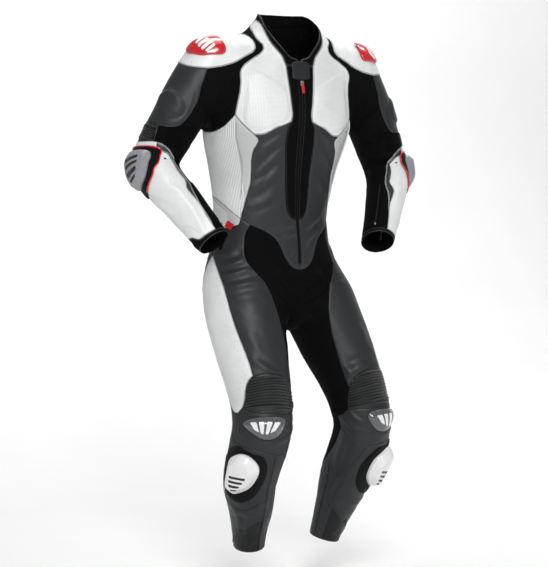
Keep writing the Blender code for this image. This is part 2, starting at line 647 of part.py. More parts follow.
# ---------------------------------------------------------------- seams as points in space

def corner(name, side):
    chart, angle, place = CORNERS[name]
    if place is None:
        place = cuff_place(angle) - cuff_depth(angle)
    elif place == "open":
        place = cuff_place(angle)
    return on_form(chart, [angle], [place], side)[0]


def reading(name, chart, side):
    """A corner's angle and place in a chart."""
    angle, place = chart_of(chart, corner(name, side)[None], side)
    return angle[0], place[0]


def ring_rows(kind, first, last):
    """Rows round the cuff or hem, where a seam runs at a formula's place."""
    start, end = {"open": (220, -140), "hem": (-110, 250)}.get(
        kind, (CORNERS[first][1], CORNERS[last][1]))
    if start - end > 180 and kind == "cuff":
        start -= 360
    angle = np.linspace(start, end, 2 + int(abs(end - start) // 15))
    if kind == "hem":
        return angle, np.full(len(angle), float(HEM))
    return angle, cuff_place(angle) - (cuff_depth(angle) if kind == "cuff" else 0)


def seam_rows(name, side):
    first, last, chart, between = SEAMS[name]
    if isinstance(between, str):
        return ring_rows(between, first, last)
    rows = [reading(first, chart, side), *between, reading(last, chart, side)]
    angle = np.array([row[0] for row in rows], float)
    place = np.array([row[1] for row in rows], float)
    middle = 1 if between else 0
    angle[:middle] += 360 * np.round((angle[middle] - angle[:middle]) / 360)
    for i in range(middle + 1, len(angle)):
        angle[i] += 360 * round((angle[i - 1] - angle[i]) / 360)
    return angle, place


def thinned(line):
    """Indices of the points that keep a line within CHORD and its edges short."""
    keep = {0, len(line) - 1}
    spans = [(0, len(line) - 1)]
    while spans:
        a, b = spans.pop()
        if b - a < 2:
            continue
        edge = line[b] - line[a]
        inner = line[a + 1:b] - line[a]
        length = np.linalg.norm(edge)
        if length < 1:
            off = np.linalg.norm(inner, axis=1)
        else:
            t = np.clip(inner @ edge / length**2, 0, 1)
            off = np.linalg.norm(inner - t[:, None] * edge, axis=1)
        if off.max() > CHORD:
            mid = a + 1 + int(off.argmax())
        elif length > LONGEST_EDGE:
            mid = (a + b) // 2
        else:
            continue
        keep.add(mid)
        spans += [(a, mid), (mid, b)]
    return sorted(keep)


SEAM_POINTS = {}


def seam_points(name, side):
    """Points along a seam, shared by the panels on both sides of it."""
    key = (name, side)
    if key not in SEAM_POINTS:
        first, last, chart, _ = SEAMS[name]
        angle, place = seam_rows(name, side)
        scale = SPREAD[chart]
        rows = np.stack([angle, place], 1)
        along = np.linalg.norm(np.diff(rows * [scale, 1], axis=0), axis=1)
        if len(rows) > 2:
            place = np.concatenate([[0], np.cumsum(np.maximum(along, 1e-6))])
            at = np.linspace(0, place[-1], max(9, 1 + int(place[-1] // 3)))
            rows = curve(place, rows, at)
        else:
            rows = np.linspace(rows[0], rows[1], max(5, 1 + int(along[0] // 3)))
        line = on_form(chart, rows[:, 0], rows[:, 1], side)
        line[0] = corner(first, side)
        line[-1] = corner(last, side)
        SEAM_POINTS[key] = line[thinned(line)]
    return SEAM_POINTS[key]


SPREAD = {"A": 1.05, "B": 2.6, "C": 1.7, "L": 1.4}        # mm a degree, near enough
GRID = {"A": (27, 50), "B": (44, 50), "L": (33, 56)}      # mm between a panel's points


def ring_of(lines):
    """Chain lines, turned as needed, into one closed ring without doubled ends."""
    def miss(a, b):
        return np.linalg.norm(a - b)

    first, second = lines[0], lines[1]
    ends = min(miss(first[-1], second[0]), miss(first[-1], second[-1]))
    starts = min(miss(first[0], second[0]), miss(first[0], second[-1]))
    chain = [first if ends <= starts else first[::-1]]
    for line in lines[1:]:
        here = chain[-1][-1]
        chain.append(line if miss(here, line[0]) <= miss(here, line[-1]) else line[::-1])
        if miss(here, chain[-1][0]) > 0.5:
            raise ValueError("seams do not meet")
    return np.vstack([line[:-1] for line in chain])


def flatten(ring, chart, side, slanted, middle):
    angle, place = chart_of(chart, ring, side, slanted)
    angle = np.degrees(np.unwrap(np.radians(angle)))
    angle += 360 * round((middle - angle.mean()) / 360)
    return np.stack([angle * SPREAD[chart], place], 1)


def inside(points, ring):
    a, b = ring, np.roll(ring, -1, 0)
    x, y = points[:, :1], points[:, 1:]
    rising = (a[:, 1] > y) != (b[:, 1] > y)
    run = np.where(b[:, 1] == a[:, 1], 1e-9, b[:, 1] - a[:, 1])
    cross = a[:, 0] + (y - a[:, 1]) * (b[:, 0] - a[:, 0]) / run
    return (rising & (x < cross)).sum(1) % 2 == 1


def reach_to(points, line, closed=True):
    """Distance in the flat from points to a line."""
    a = line if closed else line[:-1]
    b = np.roll(line, -1, 0) if closed else line[1:]
    edge = b - a
    t = ((points[:, None] - a) * edge).sum(2) / np.maximum((edge**2).sum(1), 1e-12)
    near = a + np.clip(t, 0, 1)[..., None] * edge
    return np.linalg.norm(points[:, None] - near, axis=2).min(1)


def clipped(line, ring, margin, gap):
    """Stretches of a flat line that lie inside a ring, with points a gap apart."""
    lengths = np.linalg.norm(np.diff(line, axis=0), axis=1)
    along = np.concatenate([[0], np.cumsum(lengths)])
    at = np.linspace(0, along[-1], 2 + int(along[-1] // 1.5))
    fine = np.stack([np.interp(at, along, line[:, k]) for k in (0, 1)], 1)
    good = inside(fine, ring) & (reach_to(fine, ring) > margin)
    edges = np.flatnonzero(np.diff(np.concatenate([[0], good.astype(int), [0]])))
    stretches = []
    for a, b in zip(edges[::2], edges[1::2]):
        if at[b - 1] - at[a] > 4:
            pick = np.linspace(a, b - 1, 2 + int((at[b - 1] - at[a]) // gap)).round().astype(int)
            stretches.append(fine[pick])
    return stretches


def spread_points(ring, grid, lines):
    """A staggered grid inside a ring, clear of its edge and of the lines in it."""
    across, down = grid
    low, high = ring.min(0), ring.max(0)
    rows = []
    for k, y in enumerate(np.arange(low[1] + down / 2, high[1], down)):
        x = np.arange(low[0] + (0.25 + 0.5 * (k % 2)) * across, high[0], across)
        rows.append(np.stack([x, 0 * x + y], 1))
    points = np.vstack(rows) if rows else np.zeros((0, 2))
    points = points[inside(points, ring)]
    squeeze = np.array([1, across / down])
    if len(points):
        points = points[reach_to(points * squeeze, ring * squeeze) > 0.42 * across]
    for line in lines:
        if len(points):
            near = reach_to(points * squeeze, line * squeeze, closed=False)
            points = points[near > 0.4 * across]
    return points


def triangles(ring, points, lines):
    """Triangles that fill a ring through its inner points and lines."""
    flat = [ring, points, *lines]
    starts = np.cumsum([0] + [len(part) for part in flat])
    n = len(ring)
    edges = [(i, (i + 1) % n) for i in range(n)]
    for start, line in zip(starts[2:], lines):
        edges += [(int(start) + i, int(start) + i + 1) for i in range(len(line) - 1)]
    flat = np.vstack(flat)
    shift = flat.mean(0)
    corners = [Vector(map(float, point - shift)) for point in flat]
    found, _, faces, origin, _, _ = delaunay_2d_cdt(corners, edges, [], 1, 1e-4)
    if any(not made for made in origin) or len(found) != len(flat):
        raise ValueError("lines cross or touch in a panel")
    return [[origin[i][0] for i in face] for face in faces]


def inward(ring, normal):
    """Unit steps in the surface from each ring point into the panel, with mitred corners."""
    ahead = np.roll(ring, -1, 0) - ring
    into = unit(np.cross(normal, ahead))
    before = unit(np.cross(normal, np.roll(ahead, 1, 0)))
    opening = np.maximum(1 + dot(into, before), 0.25)
    return (into + before) / opening[:, None]


def wall(name, material, ring, chart, side=1, middle=0, grid=None, lift=None, raised=None,
         gap=SEAM_GAP / 2, edge_height=0.0, base=None):
    """A panel: the form inside a ring of seam points, as a closed wall.

    lift is None for a panel, whose outer face is the form; otherwise the wall
    lies on the form, lifted by that much and by base, the height of what is
    under it. raised gives the lines and the height of what stands up on it.
    """
    slanted = chart in "AL"
    flat = flatten(ring, chart, side, slanted, middle)
    area = (flat[:, 0] * np.roll(flat[:, 1], -1) - np.roll(flat[:, 0], -1) * flat[:, 1]).sum()
    if area < 0:
        ring, flat = ring[::-1], flat[::-1]
    lines, height = raised(flat) if raised else ([], None)
    points = spread_points(flat, grid or GRID[chart], lines)
    normal = normals(ring)
    edge = ring + gap * inward(ring, normal)
    grown = np.vstack([points, *lines]) if lines else points
    deep = spread_points(flat, grid or GRID[chart], ()) if lines else points
    outer_faces = triangles(flat, points, lines)
    inner_faces = triangles(flat, deep, ())

    def carried(flat_points):
        if not len(flat_points):
            return np.zeros((0, 3)), np.zeros((0, 3))
        on = on_form(chart, flat_points[:, 0] / SPREAD[chart], flat_points[:, 1], side, slanted)
        return on, normals(on)

    def under(flat_points):
        low = 0 if lift is None else lift
        return low + (base(flat_points) if base else np.zeros(len(flat_points)))

    up = height(grown) if height and len(grown) else np.zeros(len(grown))
    down = WALL if lift is None else 0
    outer, outer_normal = carried(grown)
    inner, inner_normal = carried(deep)
    n = len(ring)
    vertices = np.vstack([
        edge + (under(flat) + edge_height)[:, None] * normal,
        edge + (under(flat) - down)[:, None] * normal,
        outer + (under(grown) + up)[:, None] * outer_normal,
        inner + (under(deep) - down)[:, None] * inner_normal,
    ])
    faces = [[i if i < n else i + n for i in face] for face in outer_faces]
    shift = n + len(grown)
    faces += [[i + n if i < n else i + shift for i in face[::-1]] for face in inner_faces]
    depth = ring - (WALL * normal if lift is None else -edge_height * normal)
    for i in range(n):
        j = (i + 1) % n
        if np.linalg.norm(ring[i] - depth[j]) < np.linalg.norm(ring[j] - depth[i]):
            faces += [[i, i + n, j + n], [i, j + n, j]]
        else:
            faces += [[i, i + n, j], [i + n, j + n, j]]
    return solid(name, material, vertices, faces, chart, side)


def shade(mesh):
    """Round parts of a mesh shade smooth; its real edges stay sharp."""
    mesh.shade_smooth()
    mesh.set_sharp_from_angle(angle=math.radians(SHARP_EDGE))


def solid(name, material, vertices, faces, chart, side=1):
    """A mesh object from mm points of the +X half; side -1 puts it on the other half."""
    if side < 0:
        vertices = vertices * [-1, 1, 1]
        faces = [face[::-1] for face in faces]
    mesh = bpy.data.meshes.new(name)
    mesh.from_pydata((stance(vertices, chart) * MM).tolist(), [], faces)
    mesh.materials.append(material)
    mesh.validate()
    shade(mesh)
    built = bpy.data.objects.new(name, mesh)
    bpy.context.collection.objects.link(built)
    return built


# ---------------------------------------------------------------- looks, plainly

COLOURS = {
    "white_leather": ((0.78, 0.79, 0.79), 0.45, 0.0),
    "dark_leather": ((0.045, 0.05, 0.052), 0.5, 0.0),
    "black_stretch": ((0.01, 0.01, 0.012), 0.85, 0.0),
    "zip_black": ((0.012, 0.012, 0.013), 0.4, 0.0),
    "hook_pad": ((0.008, 0.008, 0.009), 0.95, 0.0),
    "white_plastic": ((0.82, 0.82, 0.83), 0.25, 0.0),
    "grey_plastic": ((0.3, 0.3, 0.32), 0.3, 0.0),
    "red_plastic": ((0.7, 0.012, 0.02), 0.15, 0.0),
    "steel": ((0.4, 0.4, 0.42), 0.3, 1.0),
}


def material_of(name):
    if name in bpy.data.materials:
        return bpy.data.materials[name]
    colour, roughness, metallic = COLOURS[name]
    made = bpy.data.materials.new(name)
    made.use_nodes = True
    shader = made.node_tree.nodes["Principled BSDF"]
    shader.inputs["Base Color"].default_value = (*colour, 1)
    shader.inputs["Roughness"].default_value = roughness
    shader.inputs["Metallic"].default_value = metallic
    return made


# ---------------------------------------------------------------- raised work

def flat_line(rows, chart, side, middle, closed=False):
    """A smooth line through chart places, in the flat of the panels of that chart."""
    rows = np.array(rows, float)
    n = len(rows)
    if closed:
        rows = rows[[-1, *range(n), 0, 1]]
        rows = curve(np.arange(-1, n + 2), rows, np.arange(0, n, 0.5))
    elif n > 2:
        rows = curve(np.arange(n), rows, np.linspace(0, n - 1, 4 * n))
    line = on_form(chart, rows[:, 0], rows[:, 1], side)
    return flatten(line, chart, side, chart in "AL", middle)


def shrunk(loop, by):
    """A flat loop moved in towards its middle."""
    out = loop - loop.mean(0)
    size = np.linalg.norm(out, axis=1, keepdims=True)
    return loop.mean(0) + out * (1 - np.minimum(by / size, 0.5))


def around(loop, gap):
    """Points a gap apart round a closed flat loop."""
    closed = np.vstack([loop, loop[:1]])
    along = np.concatenate([[0], np.cumsum(np.linalg.norm(np.diff(closed, axis=0), axis=1))])
    at = np.linspace(0, along[-1], 1 + int(along[-1] // gap))[:-1]
    return np.stack([np.interp(at, along, closed[:, k]) for k in (0, 1)], 1)


def depth_in(points, loop):
    """How far flat points are inside a loop, and 0 outside it."""
    return reach_to(points, loop) * inside(points, loop)


def wave(turns):
    """0 in the valleys, at whole turns, and 1 on the crests between them."""
    return (1 - np.cos(2 * np.pi * turns)) / 2


def ribbed(chart, count, height, first, last, follows):
    """Parallel ribs along one reading of the chart."""
    scale = SPREAD[chart] if follows == "angle" else 1
    axis = 0 if follows == "angle" else 1
    margin, gap = (2.2, 44) if follows == "angle" else (2.4, 25)

    def raised(ring):
        low, high = ring.min(0), ring.max(0)
        lines = []
        for at in np.linspace(first, last, 2 * count + 1) * scale:
            line = np.array([low, high])
            line[:, axis] = at
            lines += clipped(line, ring, margin, gap)
        return lines, tall

    def tall(q):
        turns = (q[:, axis] / scale - first) / (last - first) * count
        return height * wave(turns) * ((turns > 0) & (turns < count))

    return raised


def hip_fan(fan):
    """Ribs that spread from a point at the waist to the back of the hip."""
    point = np.array(fan["point"]) * [SPREAD["B"], 1]
    wide = fan["wide_at"] * SPREAD["B"]
    fall = (fan["bottom"] - fan["top"]) / fan["count"]

    def raised(ring):
        lines = []
        for k in range(2 * fan["count"] + 1):
            end = np.array([wide, fan["top"] + fall * k / 2])
            start = point + (fan["fades"] + 0.08 * (k % 2)) * (end - point)
            lines += clipped(np.array([start, end]), ring, 2.2, 24)
        return lines, tall

    def tall(q):
        run = np.maximum((q[:, 0] - point[0]) / (wide - point[0]), 0.05)
        turns = (point[1] + (q[:, 1] - point[1]) / run - fan["top"]) / fall
        return RIB * wave(turns) * (run > fan["fades"]) * (turns > 0) * (turns < fan["count"])

    return raised


def armpit_ribs(side, middle):
    """Ribs in the stretch cloth that run along the front of the armhole."""
    count, spacing = ARMPIT_RIBS
    seam = flatten(seam_points("armhole_fore", side), "A", side, True, middle)

    def raised(ring):
        run = unit(np.gradient(seam, axis=0))
        out = np.stack([run[:, 1], -run[:, 0]], 1)
        if not inside(seam[len(seam) // 2][None] + 6 * out[len(seam) // 2], ring)[0]:
            out = -out
        lines = []
        for k in range(1, 2 * count + 1):
            lines += clipped(seam + spacing * k / 2 * out, ring, 2.0, 22)
        return lines, tall

    def tall(q):
        turns = reach_to(q, seam, closed=False) / spacing
        return RIB * wave(turns) * (turns < count)

    return raised


def padded(chart, side, middle, height, bevel, rows):
    """A flat-topped pad inside an outline."""
    foot = flat_line(rows, chart, side, middle, closed=True)

    def raised(ring):
        crown = shrunk(foot, bevel)
        return [around(foot, 24), around(crown, 24)], tall

    def tall(q):
        return height * ramp(depth_in(q, foot), 0.5, bevel * 0.8)

    return raised


def cup_height(ring):
    """Height of the shoulder cup's padding over the form."""
    return lambda q: CUP_DOME * ramp(depth_in(q, ring), 0, CUP_SLOPE)


def domed(ring):
    return [around(shrunk(ring, 8), 26), around(shrunk(ring, 24), 26)], cup_height(ring)


def creased(chart, side, middle, folds, bed):
    """Soft ridges along creases, and a bed of points that follows a piece lying on it."""
    crests = [(height, flat_line(rows, chart, side, middle)) for height, rows in folds]

    def raised(ring):
        lines = [piece for _, crest in crests for piece in clipped(crest, ring, 9, 16)]
        for loop in bed:
            lines += clipped(loop, ring, 6, 22)
        return lines, tall

    def tall(q):
        up = np.zeros(len(q))
        for height, crest in crests:
            near = reach_to(q, crest, closed=False) < 1
            ends = np.linalg.norm(q[:, None] - crest[[0, -1]], axis=2).min(1)
            up = np.maximum(up, height * near * ramp(ends, -4, 14))
        return up

    return raised


def both(first, second):
    def raised(ring):
        (lines, tall), (more, other) = first(ring), second(ring)
        return lines + more, lambda q: np.maximum(tall(q), other(q))
    return raised


def raised_work(name, chart, side, middle):
    """What stands up on a panel, or None."""
    for panel, *rest in RIBS:
        if panel == name:
            return ribbed(chart, *rest)
    for panel, height, bevel, rows in PADS:
        if panel == name:
            return padded(chart, side, middle, height, bevel, rows)
    folds = [(height, rows) for panel, height, rows in FOLDS if panel == name]
    bed = []
    if name in BEDS:
        loop = flat_line(PIECES[BEDS[name]][-1], chart, side, middle, closed=True)
        bed = [shrunk(loop, 4), shrunk(loop, 24)]
    if name == "sleeve_front":
        return both(armpit_ribs(side, middle), creased(chart, side, middle, folds, bed))
    if name == "hip_ribs":
        return hip_fan(HIP_FAN)
    if name == "shoulder_cup":
        return domed
    return creased(chart, side, middle, folds, bed) if folds or bed else None


# ---------------------------------------------------------------- panels and pieces

SIDES = (("left", 1), ("right", -1))
MIDDLE_OF = {"B": 60, "A": 60, "L": 80}


def make_side_panels():
    for label, side in SIDES:
        for name, chart, seams, cloth in SIDE_PANELS:
            ring = ring_of([seam_points(seam, side) for seam in seams])
            middle = MIDDLE_OF[chart]
            wall(f"{name}_{label}", material_of(cloth), ring, chart, side, middle=middle,
                 raised=raised_work(name, chart, side, middle))


def mirrored_seam(name, side):
    return seam_points(name, side) * [side, 1, 1]


def make_middle_panels():
    for name, chart, middle, seams, cloth in MIDDLE_PANELS:
        lines = [mirrored_seam(seam, side) for seam, side in seams]
        if name == "main_zip":
            head = mirrored_seam("zip_upper", 1)[:1]
            lines.append(np.vstack([head * [-1, 1, 1], head]))
        wall(name, material_of(cloth), ring_of(lines), chart, 1, middle=middle)


def lying_piece(name, row, side, base=None):
    """A slider, plate or pad that lies on the panels, bevelled round its outline."""
    chart, lift, edge, crown, bevel, grid, look, rows = row
    middle = MIDDLE_OF[chart] if name != "neck_tab" else 0
    rows = np.array(rows, float)
    n = len(rows)
    rows = curve(np.arange(-1, n + 2), rows[[-1, *range(n), 0, 1]], np.arange(0, n, 0.5))
    ring = on_form(chart, rows[:, 0], rows[:, 1], side)

    def raised(flat):
        return [], lambda q: edge + (crown - edge) * ramp(depth_in(q, flat), 0, bevel)

    wall(name, material_of(look), ring, chart, side, middle=middle, grid=grid, lift=lift,
         raised=raised, gap=0, edge_height=edge, base=base)


def make_pieces():
    for label, side in SIDES:
        cup = [seams for name, _, seams, _ in SIDE_PANELS if name == "shoulder_cup"][0]
        ring = ring_of([seam_points(seam, side) for seam in cup])
        cup_flat = flatten(ring, "A", side, True, MIDDLE_OF["A"])
        for name, row in PIECES.items():
            base = cup_height(cup_flat) if name == "shoulder_slider" else None
            lying_piece(f"{name}_{label}", row, side, base)
    lying_piece("neck_tab", NECK_TAB, 1)


# ---------------------------------------------------------------- zip slider and its pull

def prism(outline, hole, low, high):
    """Points and faces of a plate with straight sides, and a hole of as many corners."""
    n = len(outline)
    loops = [(x, z) for loop in (outline, hole or ()) for x, z in loop]
    points = [(x, y, z) for y in (low, high) for x, z in loops]
    m = len(loops)
    faces = []
    for start in range(0, m, n):
        for i in range(n):
            a, b = start + i, start + (i + 1) % n
            wall_face = [a, b, b + m, a + m]
            faces.append(wall_face if start == 0 else wall_face[::-1])
    if hole:
        for i in range(n):
            j = (i + 1) % n
            faces.append([i, i + n, j + n, j])
            faces.append([i + m, j + m, j + n + m, i + n + m])
    else:
        faces += [list(range(n))[::-1], [m + i for i in range(n)]]
    return points, faces


def closed_mesh(name, points, faces):
    mesh = bpy.data.meshes.new(name)
    mesh.from_pydata([tuple(MM * c for c in point) for point in points], [], faces)
    shape = bmesh.new()
    shape.from_mesh(mesh)
    bmesh.ops.recalc_face_normals(shape, faces=shape.faces)
    if shape.calc_volume() < 0:
        bmesh.ops.reverse_faces(shape, faces=shape.faces)
    shape.to_mesh(mesh)
    shape.free()
    return mesh


def box(low, high):
    """Points and faces of a box."""
    (a, c, e), (b, d, f) = low, high
    return prism(((a, e), (b, e), (b, f), (a, f)), None, c, d)


def placed(name, mesh, material, at, tilt):
    mesh.materials.clear()
    mesh.materials.append(material)
    shade(mesh)
    built = bpy.data.objects.new(name, mesh)
    built.location = at
    built.rotation_euler = (tilt, 0, 0)
    bpy.context.collection.objects.link(built)
    return built


def make_zip_slider():
    """The slider's body with the bridge over the pull's bar, and the hanging pull."""
    line = stance(on_form("B", [0, 0, 0], [ZIP_AT + 12, ZIP_AT, ZIP_AT - 14]))
    fall = line[2] - line[0]
    tilt = math.atan2(fall[1], -fall[2])
    across, out, down = SLIDER_BODY
    lift = 1.4
    bar_out = lift + out + BRIDGE["gap"] / 2
    steel = material_of("steel")
    body = closed_mesh("zip_slider", *box((-across / 2, bar_out - lift - out, -down / 2 - 1),
                                          (across / 2, bar_out - lift, down / 2 - 1)))
    top, bottom = BRIDGE["feet"]
    foot, thick, gap = BRIDGE["foot"], BRIDGE["thick"], BRIDGE["gap"]
    near, far = gap / 2 + 0.4, -gap / 2
    arch = ((near, top), (near, top - foot), (far, top - foot), (far, bottom + foot),
            (near, bottom + foot), (near, bottom), (far - thick, bottom), (far - thick, top))
    n = len(arch)
    points = [(x, y, z) for x in (-BRIDGE["wide"] / 2, BRIDGE["wide"] / 2) for y, z in arch]
    faces = [[i, (i + 1) % n, (i + 1) % n + n, i + n] for i in range(n)]
    faces += [list(range(n))[::-1], list(range(n, 2 * n))]
    bridge = closed_mesh("zip_bridge", points, faces)
    normal = normals(on_form("B", [0], [ZIP_AT]))[0]
    axis = line[1] + bar_out * np.array([0, normal[1], normal[2]])
    at = tuple(MM * axis)
    slider = placed("zip_slider", body, steel, at, tilt)
    extra = placed("zip_bridge", bridge, steel, at, tilt)
    union = slider.modifiers.new("bridge", "BOOLEAN")
    union.operation = "UNION"
    union.solver = "EXACT"
    union.object = extra
    graph = bpy.context.evaluated_depsgraph_get()
    slider.data = bpy.data.meshes.new_from_object(slider.evaluated_get(graph))
    slider.modifiers.clear()
    shade(slider.data)
    bpy.data.objects.remove(extra, do_unlink=True)

    bar, (half, deep), arm = PULL["bar"], PULL["window"], PULL["arm"]
    wide, long = PULL["wide"], PULL["long"]
    side = half + arm
    outline = ((side, bar), (side, -deep - bar), (wide, -deep - 5), (wide, 2 - long),
               (wide - 2, -long), (2 - wide, -long), (-wide, 2 - long), (-wide, -deep - 5),
               (-side, -deep - bar), (-side, bar))
    hole = ((half, -bar), (half, -deep * 0.6), (half, -deep + 0.6), (half - 0.4, -deep + 0.2),
            (half - 0.6, -deep), (0.6 - half, -deep), (0.4 - half, -deep + 0.2),
            (-half, -deep + 0.6), (-half, -deep * 0.6), (-half, -bar))
    pull = closed_mesh("zip_pull", *prism(outline, hole, -PULL["thick"] / 2, PULL["thick"] / 2))
    placed("zip_pull", pull, material_of("red_plastic"), at, tilt)


def main():
    for old in list(bpy.data.objects):
        bpy.data.objects.remove(old, do_unlink=True)
    make_side_panels()
    make_middle_panels()
    make_pieces()
    make_zip_slider()


main()
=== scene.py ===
"""Looks of the one-piece race suit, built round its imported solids.

Every panel of the suit is dressed with cloth that follows its solid, in the
same charts as the solids were cut in. The sliders, plates, zip, piping and
stitches are pieces of their own. Lengths are in millimetres of the plain form
until stance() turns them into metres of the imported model.
"""

import json
import math

import bmesh
import bpy
import numpy as np
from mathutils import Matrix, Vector
from mathutils.bvhtree import BVHTree
from mathutils.geometry import delaunay_2d_cdt
from mathutils.kdtree import KDTree


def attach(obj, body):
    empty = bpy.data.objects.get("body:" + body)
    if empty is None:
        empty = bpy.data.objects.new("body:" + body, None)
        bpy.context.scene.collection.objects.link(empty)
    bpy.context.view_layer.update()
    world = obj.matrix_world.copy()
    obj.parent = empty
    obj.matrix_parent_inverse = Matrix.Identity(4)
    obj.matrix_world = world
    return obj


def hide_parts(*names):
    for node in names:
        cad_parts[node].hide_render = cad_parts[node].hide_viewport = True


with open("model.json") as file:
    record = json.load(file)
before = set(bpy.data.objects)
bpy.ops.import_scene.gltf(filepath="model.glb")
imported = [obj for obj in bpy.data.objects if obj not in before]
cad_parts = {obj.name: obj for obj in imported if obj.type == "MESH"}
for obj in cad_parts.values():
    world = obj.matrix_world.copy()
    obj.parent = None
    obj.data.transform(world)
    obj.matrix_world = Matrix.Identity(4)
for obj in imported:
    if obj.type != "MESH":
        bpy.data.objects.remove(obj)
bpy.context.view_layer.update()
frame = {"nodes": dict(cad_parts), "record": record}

MM = 0.001
FULL = 6.5                                 # longest edge of most panels' faces, in mm
FINE = FULL
BORDER = (1.1, 1.1)                        # widths of the strips along a panel's edge, in mm

# ---------------------------------------------------------------- plain form of the suit

# height, half width, front reach, back reach, squareness of each section
TORSO = (
    (110, 64, -106, 34, 2.0),
    (80, 67, -106, 35, 2.0),
    (60, 76, -106, 37, 2.0),
    (44, 90, -107, 41, 2.0),
    (20, 113, -108, 48, 2.0),
    (0, 138, -110, 58, 2.1),
    (-20, 160, -113, 72, 2.2),
    (-45, 176, -117, 86, 2.2),
    (-75, 188, -124, 100, 2.3),
    (-120, 196, -132, 110, 2.4),
    (-170, 198, -137, 117, 2.4),
    (-217, 194, -137, 118, 2.4),
    (-263, 186, -131, 114, 2.3),
    (-324, 173, -122, 106, 2.2),
    (-380, 163, -118, 100, 2.2),
    (-430, 157, -117, 98, 2.2),
    (-500, 164, -114, 104, 2.2),
    (-570, 176, -106, 116, 2.2),
    (-630, 172, -92, 118, 2.2),
    (-680, 130, -70, 96, 2.1),
    (-710, 70, -45, 60, 2.0),
    (-725, 25, -20, 35, 2.0),
)
# x, y, z on the middle line of the arm, then outer, front, inner and back radius
ARM = (
    (60, -28, -70, 20, 20, 20, 20),
    (140, -26, -56, 56, 64, 50, 64),
    (200, -22, -76, 74, 70, 60, 70),
    (246, -18, -130, 69, 67, 60, 67),
    (284, -10, -200, 66, 64, 60, 64),
    (318, 2, -262, 61, 60, 58, 60),
    (338, 6, -308, 57, 56, 54, 58),
    (328, -22, -352, 54, 53, 53, 55),
    (299, -54, -400, 50, 50, 50, 50),
    (268, -86, -452, 45, 45, 45, 45),
    (241, -112, -495, 42, 42, 42, 42),
    (218, -136, -535, 40, 40, 40, 40),
)
# the same for the leg
LEG = (
    (55, 0, -440, 20, 20, 20, 20),
    (80, 0, -510, 50, 50, 50, 50),
    (104, -6, -580, 82, 84, 70, 90),
    (122, -22, -643, 96, 98, 96, 102),
    (134, -45, -706, 92, 96, 98, 100),
    (142, -70, -760, 86, 92, 94, 94),
    (151, -108, -831, 78, 82, 82, 84),
    (158, -138, -898, 74, 76, 76, 76),
    (163, -150, -956, 74, 74, 74, 72),
    (162, -140, -1000, 76, 74, 64, 74),
    (158, -120, -1050, 74, 68, 54, 76),
    (151, -95, -1109, 68, 61, 53, 72),
    (141, -78, -1165, 55, 54, 50, 58),
    (131, -60, -1219, 44, 42, 43, 46),
    (121, -45, -1275, 38, 37, 38, 38),
    (112, -32, -1330, 36, 36, 36, 36),
)
# radius of the blend into the body, and where along the limb it starts and stops fading
ARM_BLEND = (55, 230, 330)
LEG_BLEND = (45, 330, 470)
SWING = 45                 # along a limb, reach over which its direction is levelled out
# along the limb, slope of the rays that carry a panel's points out to the form
ARM_RAYS = ((-60, 0), (50, 0), (170, 0.95), (350, 0), (900, 0))
LEG_RAYS = ((-60, 0), (20, 0), (170, 0.9), (330, 0), (1200, 0))
# along the leg, how far each leg is turned: the left one inward, the right one outward
LEG_TURN = ((0, 8), (500, 8), (600, 14), (680, 22), (800, 26), (1200, 26))
# height, turn of the body in degrees
TWIST = ((100, -3), (-240, -3), (-420, 6), (-560, 9), (-700, 7), (-950, 6), (-1400, 6))
# height, sideways lean of the body
LEAN = ((100, 11), (-80, 3), (-215, 0), (-430, -21), (-620, -3), (-760, 6), (-950, 2), (-1400, 2))
ARM_HEIGHT = -215          # arms follow the body's turn at this height
ARM_SIDE = (186, 200)      # distance from the middle where the arms take over
ARM_ABOVE = (-575, -555)   # height over which they do
ARM_ENDS = -620            # height below which no arm is near
LEG_STARTS = -360          # height above which no leg is near
ARM_ALONE = (-330, 335)    # the height, and the place along the arm, below which it hangs free
HALVINGS = 30              # rounds of the search for a point's place along a limb
CAST = (20.0, 26, 0.9)     # start of a ray's search for the form, its rounds, share of each step
NORMAL_STEP = 1.5          # reach over which the form's slope is read
CLEAR = 0.42               # how clear of the edge loose points stay, as a share of their spacing


def ramp(x, a, b):
    """0 below a, 1 above b, with a soft slope between."""
    t = np.clip((x - a) / (b - a), 0, 1)
    return t * t * (3 - 2 * t)


def curve(places, rows, at):
    """Smooth curve through rows, which stand at rising places, read at other places."""
    places = np.asarray(places, float)
    rows = np.asarray(rows, float)
    slope = np.gradient(rows, places, axis=0)
    at = np.clip(at, places[0], places[-1])
    i = np.clip(np.searchsorted(places, at, side="right") - 1, 0, len(places) - 2)
    gap = (places[i + 1] - places[i])[:, None]
    t = (at[:, None] - places[i][:, None]) / gap
    start = (2 * t**3 - 3 * t**2 + 1) * rows[i] + (t**3 - 2 * t**2 + t) * slope[i] * gap
    end = (3 * t**2 - 2 * t**3) * rows[i + 1] + (t**3 - t**2) * slope[i + 1] * gap
    return start + end


def steps(table, at):
    """Straight-line reading of a short table of pairs, rising or falling."""
    rows = sorted(table)
    return np.interp(at, [row[0] for row in rows], [row[1] for row in rows])


def dot(a, b):
    return np.einsum("ij,ij->i", a, b)


def unit(a):
    return a / np.maximum(np.linalg.norm(a, axis=-1, keepdims=True), 1e-9)


def body_section(z):
    rows = np.array(sorted(TORSO), float)
    half, front, back, square = curve(rows[:, 0], rows[:, 1:], z).T
    return half, (front + back) / 2, (back - front) / 2, square


def section_distance(p, z):
    half, middle, depth, square = body_section(z)
    x = np.abs(p[:, 0]) / half
    y = np.abs(p[:, 1] - middle) / depth
    reach = (x**square + y**square) ** (1 / square) + 1e-9
    return (reach - 1) * np.hypot(p[:, 0], p[:, 1] - middle) / reach


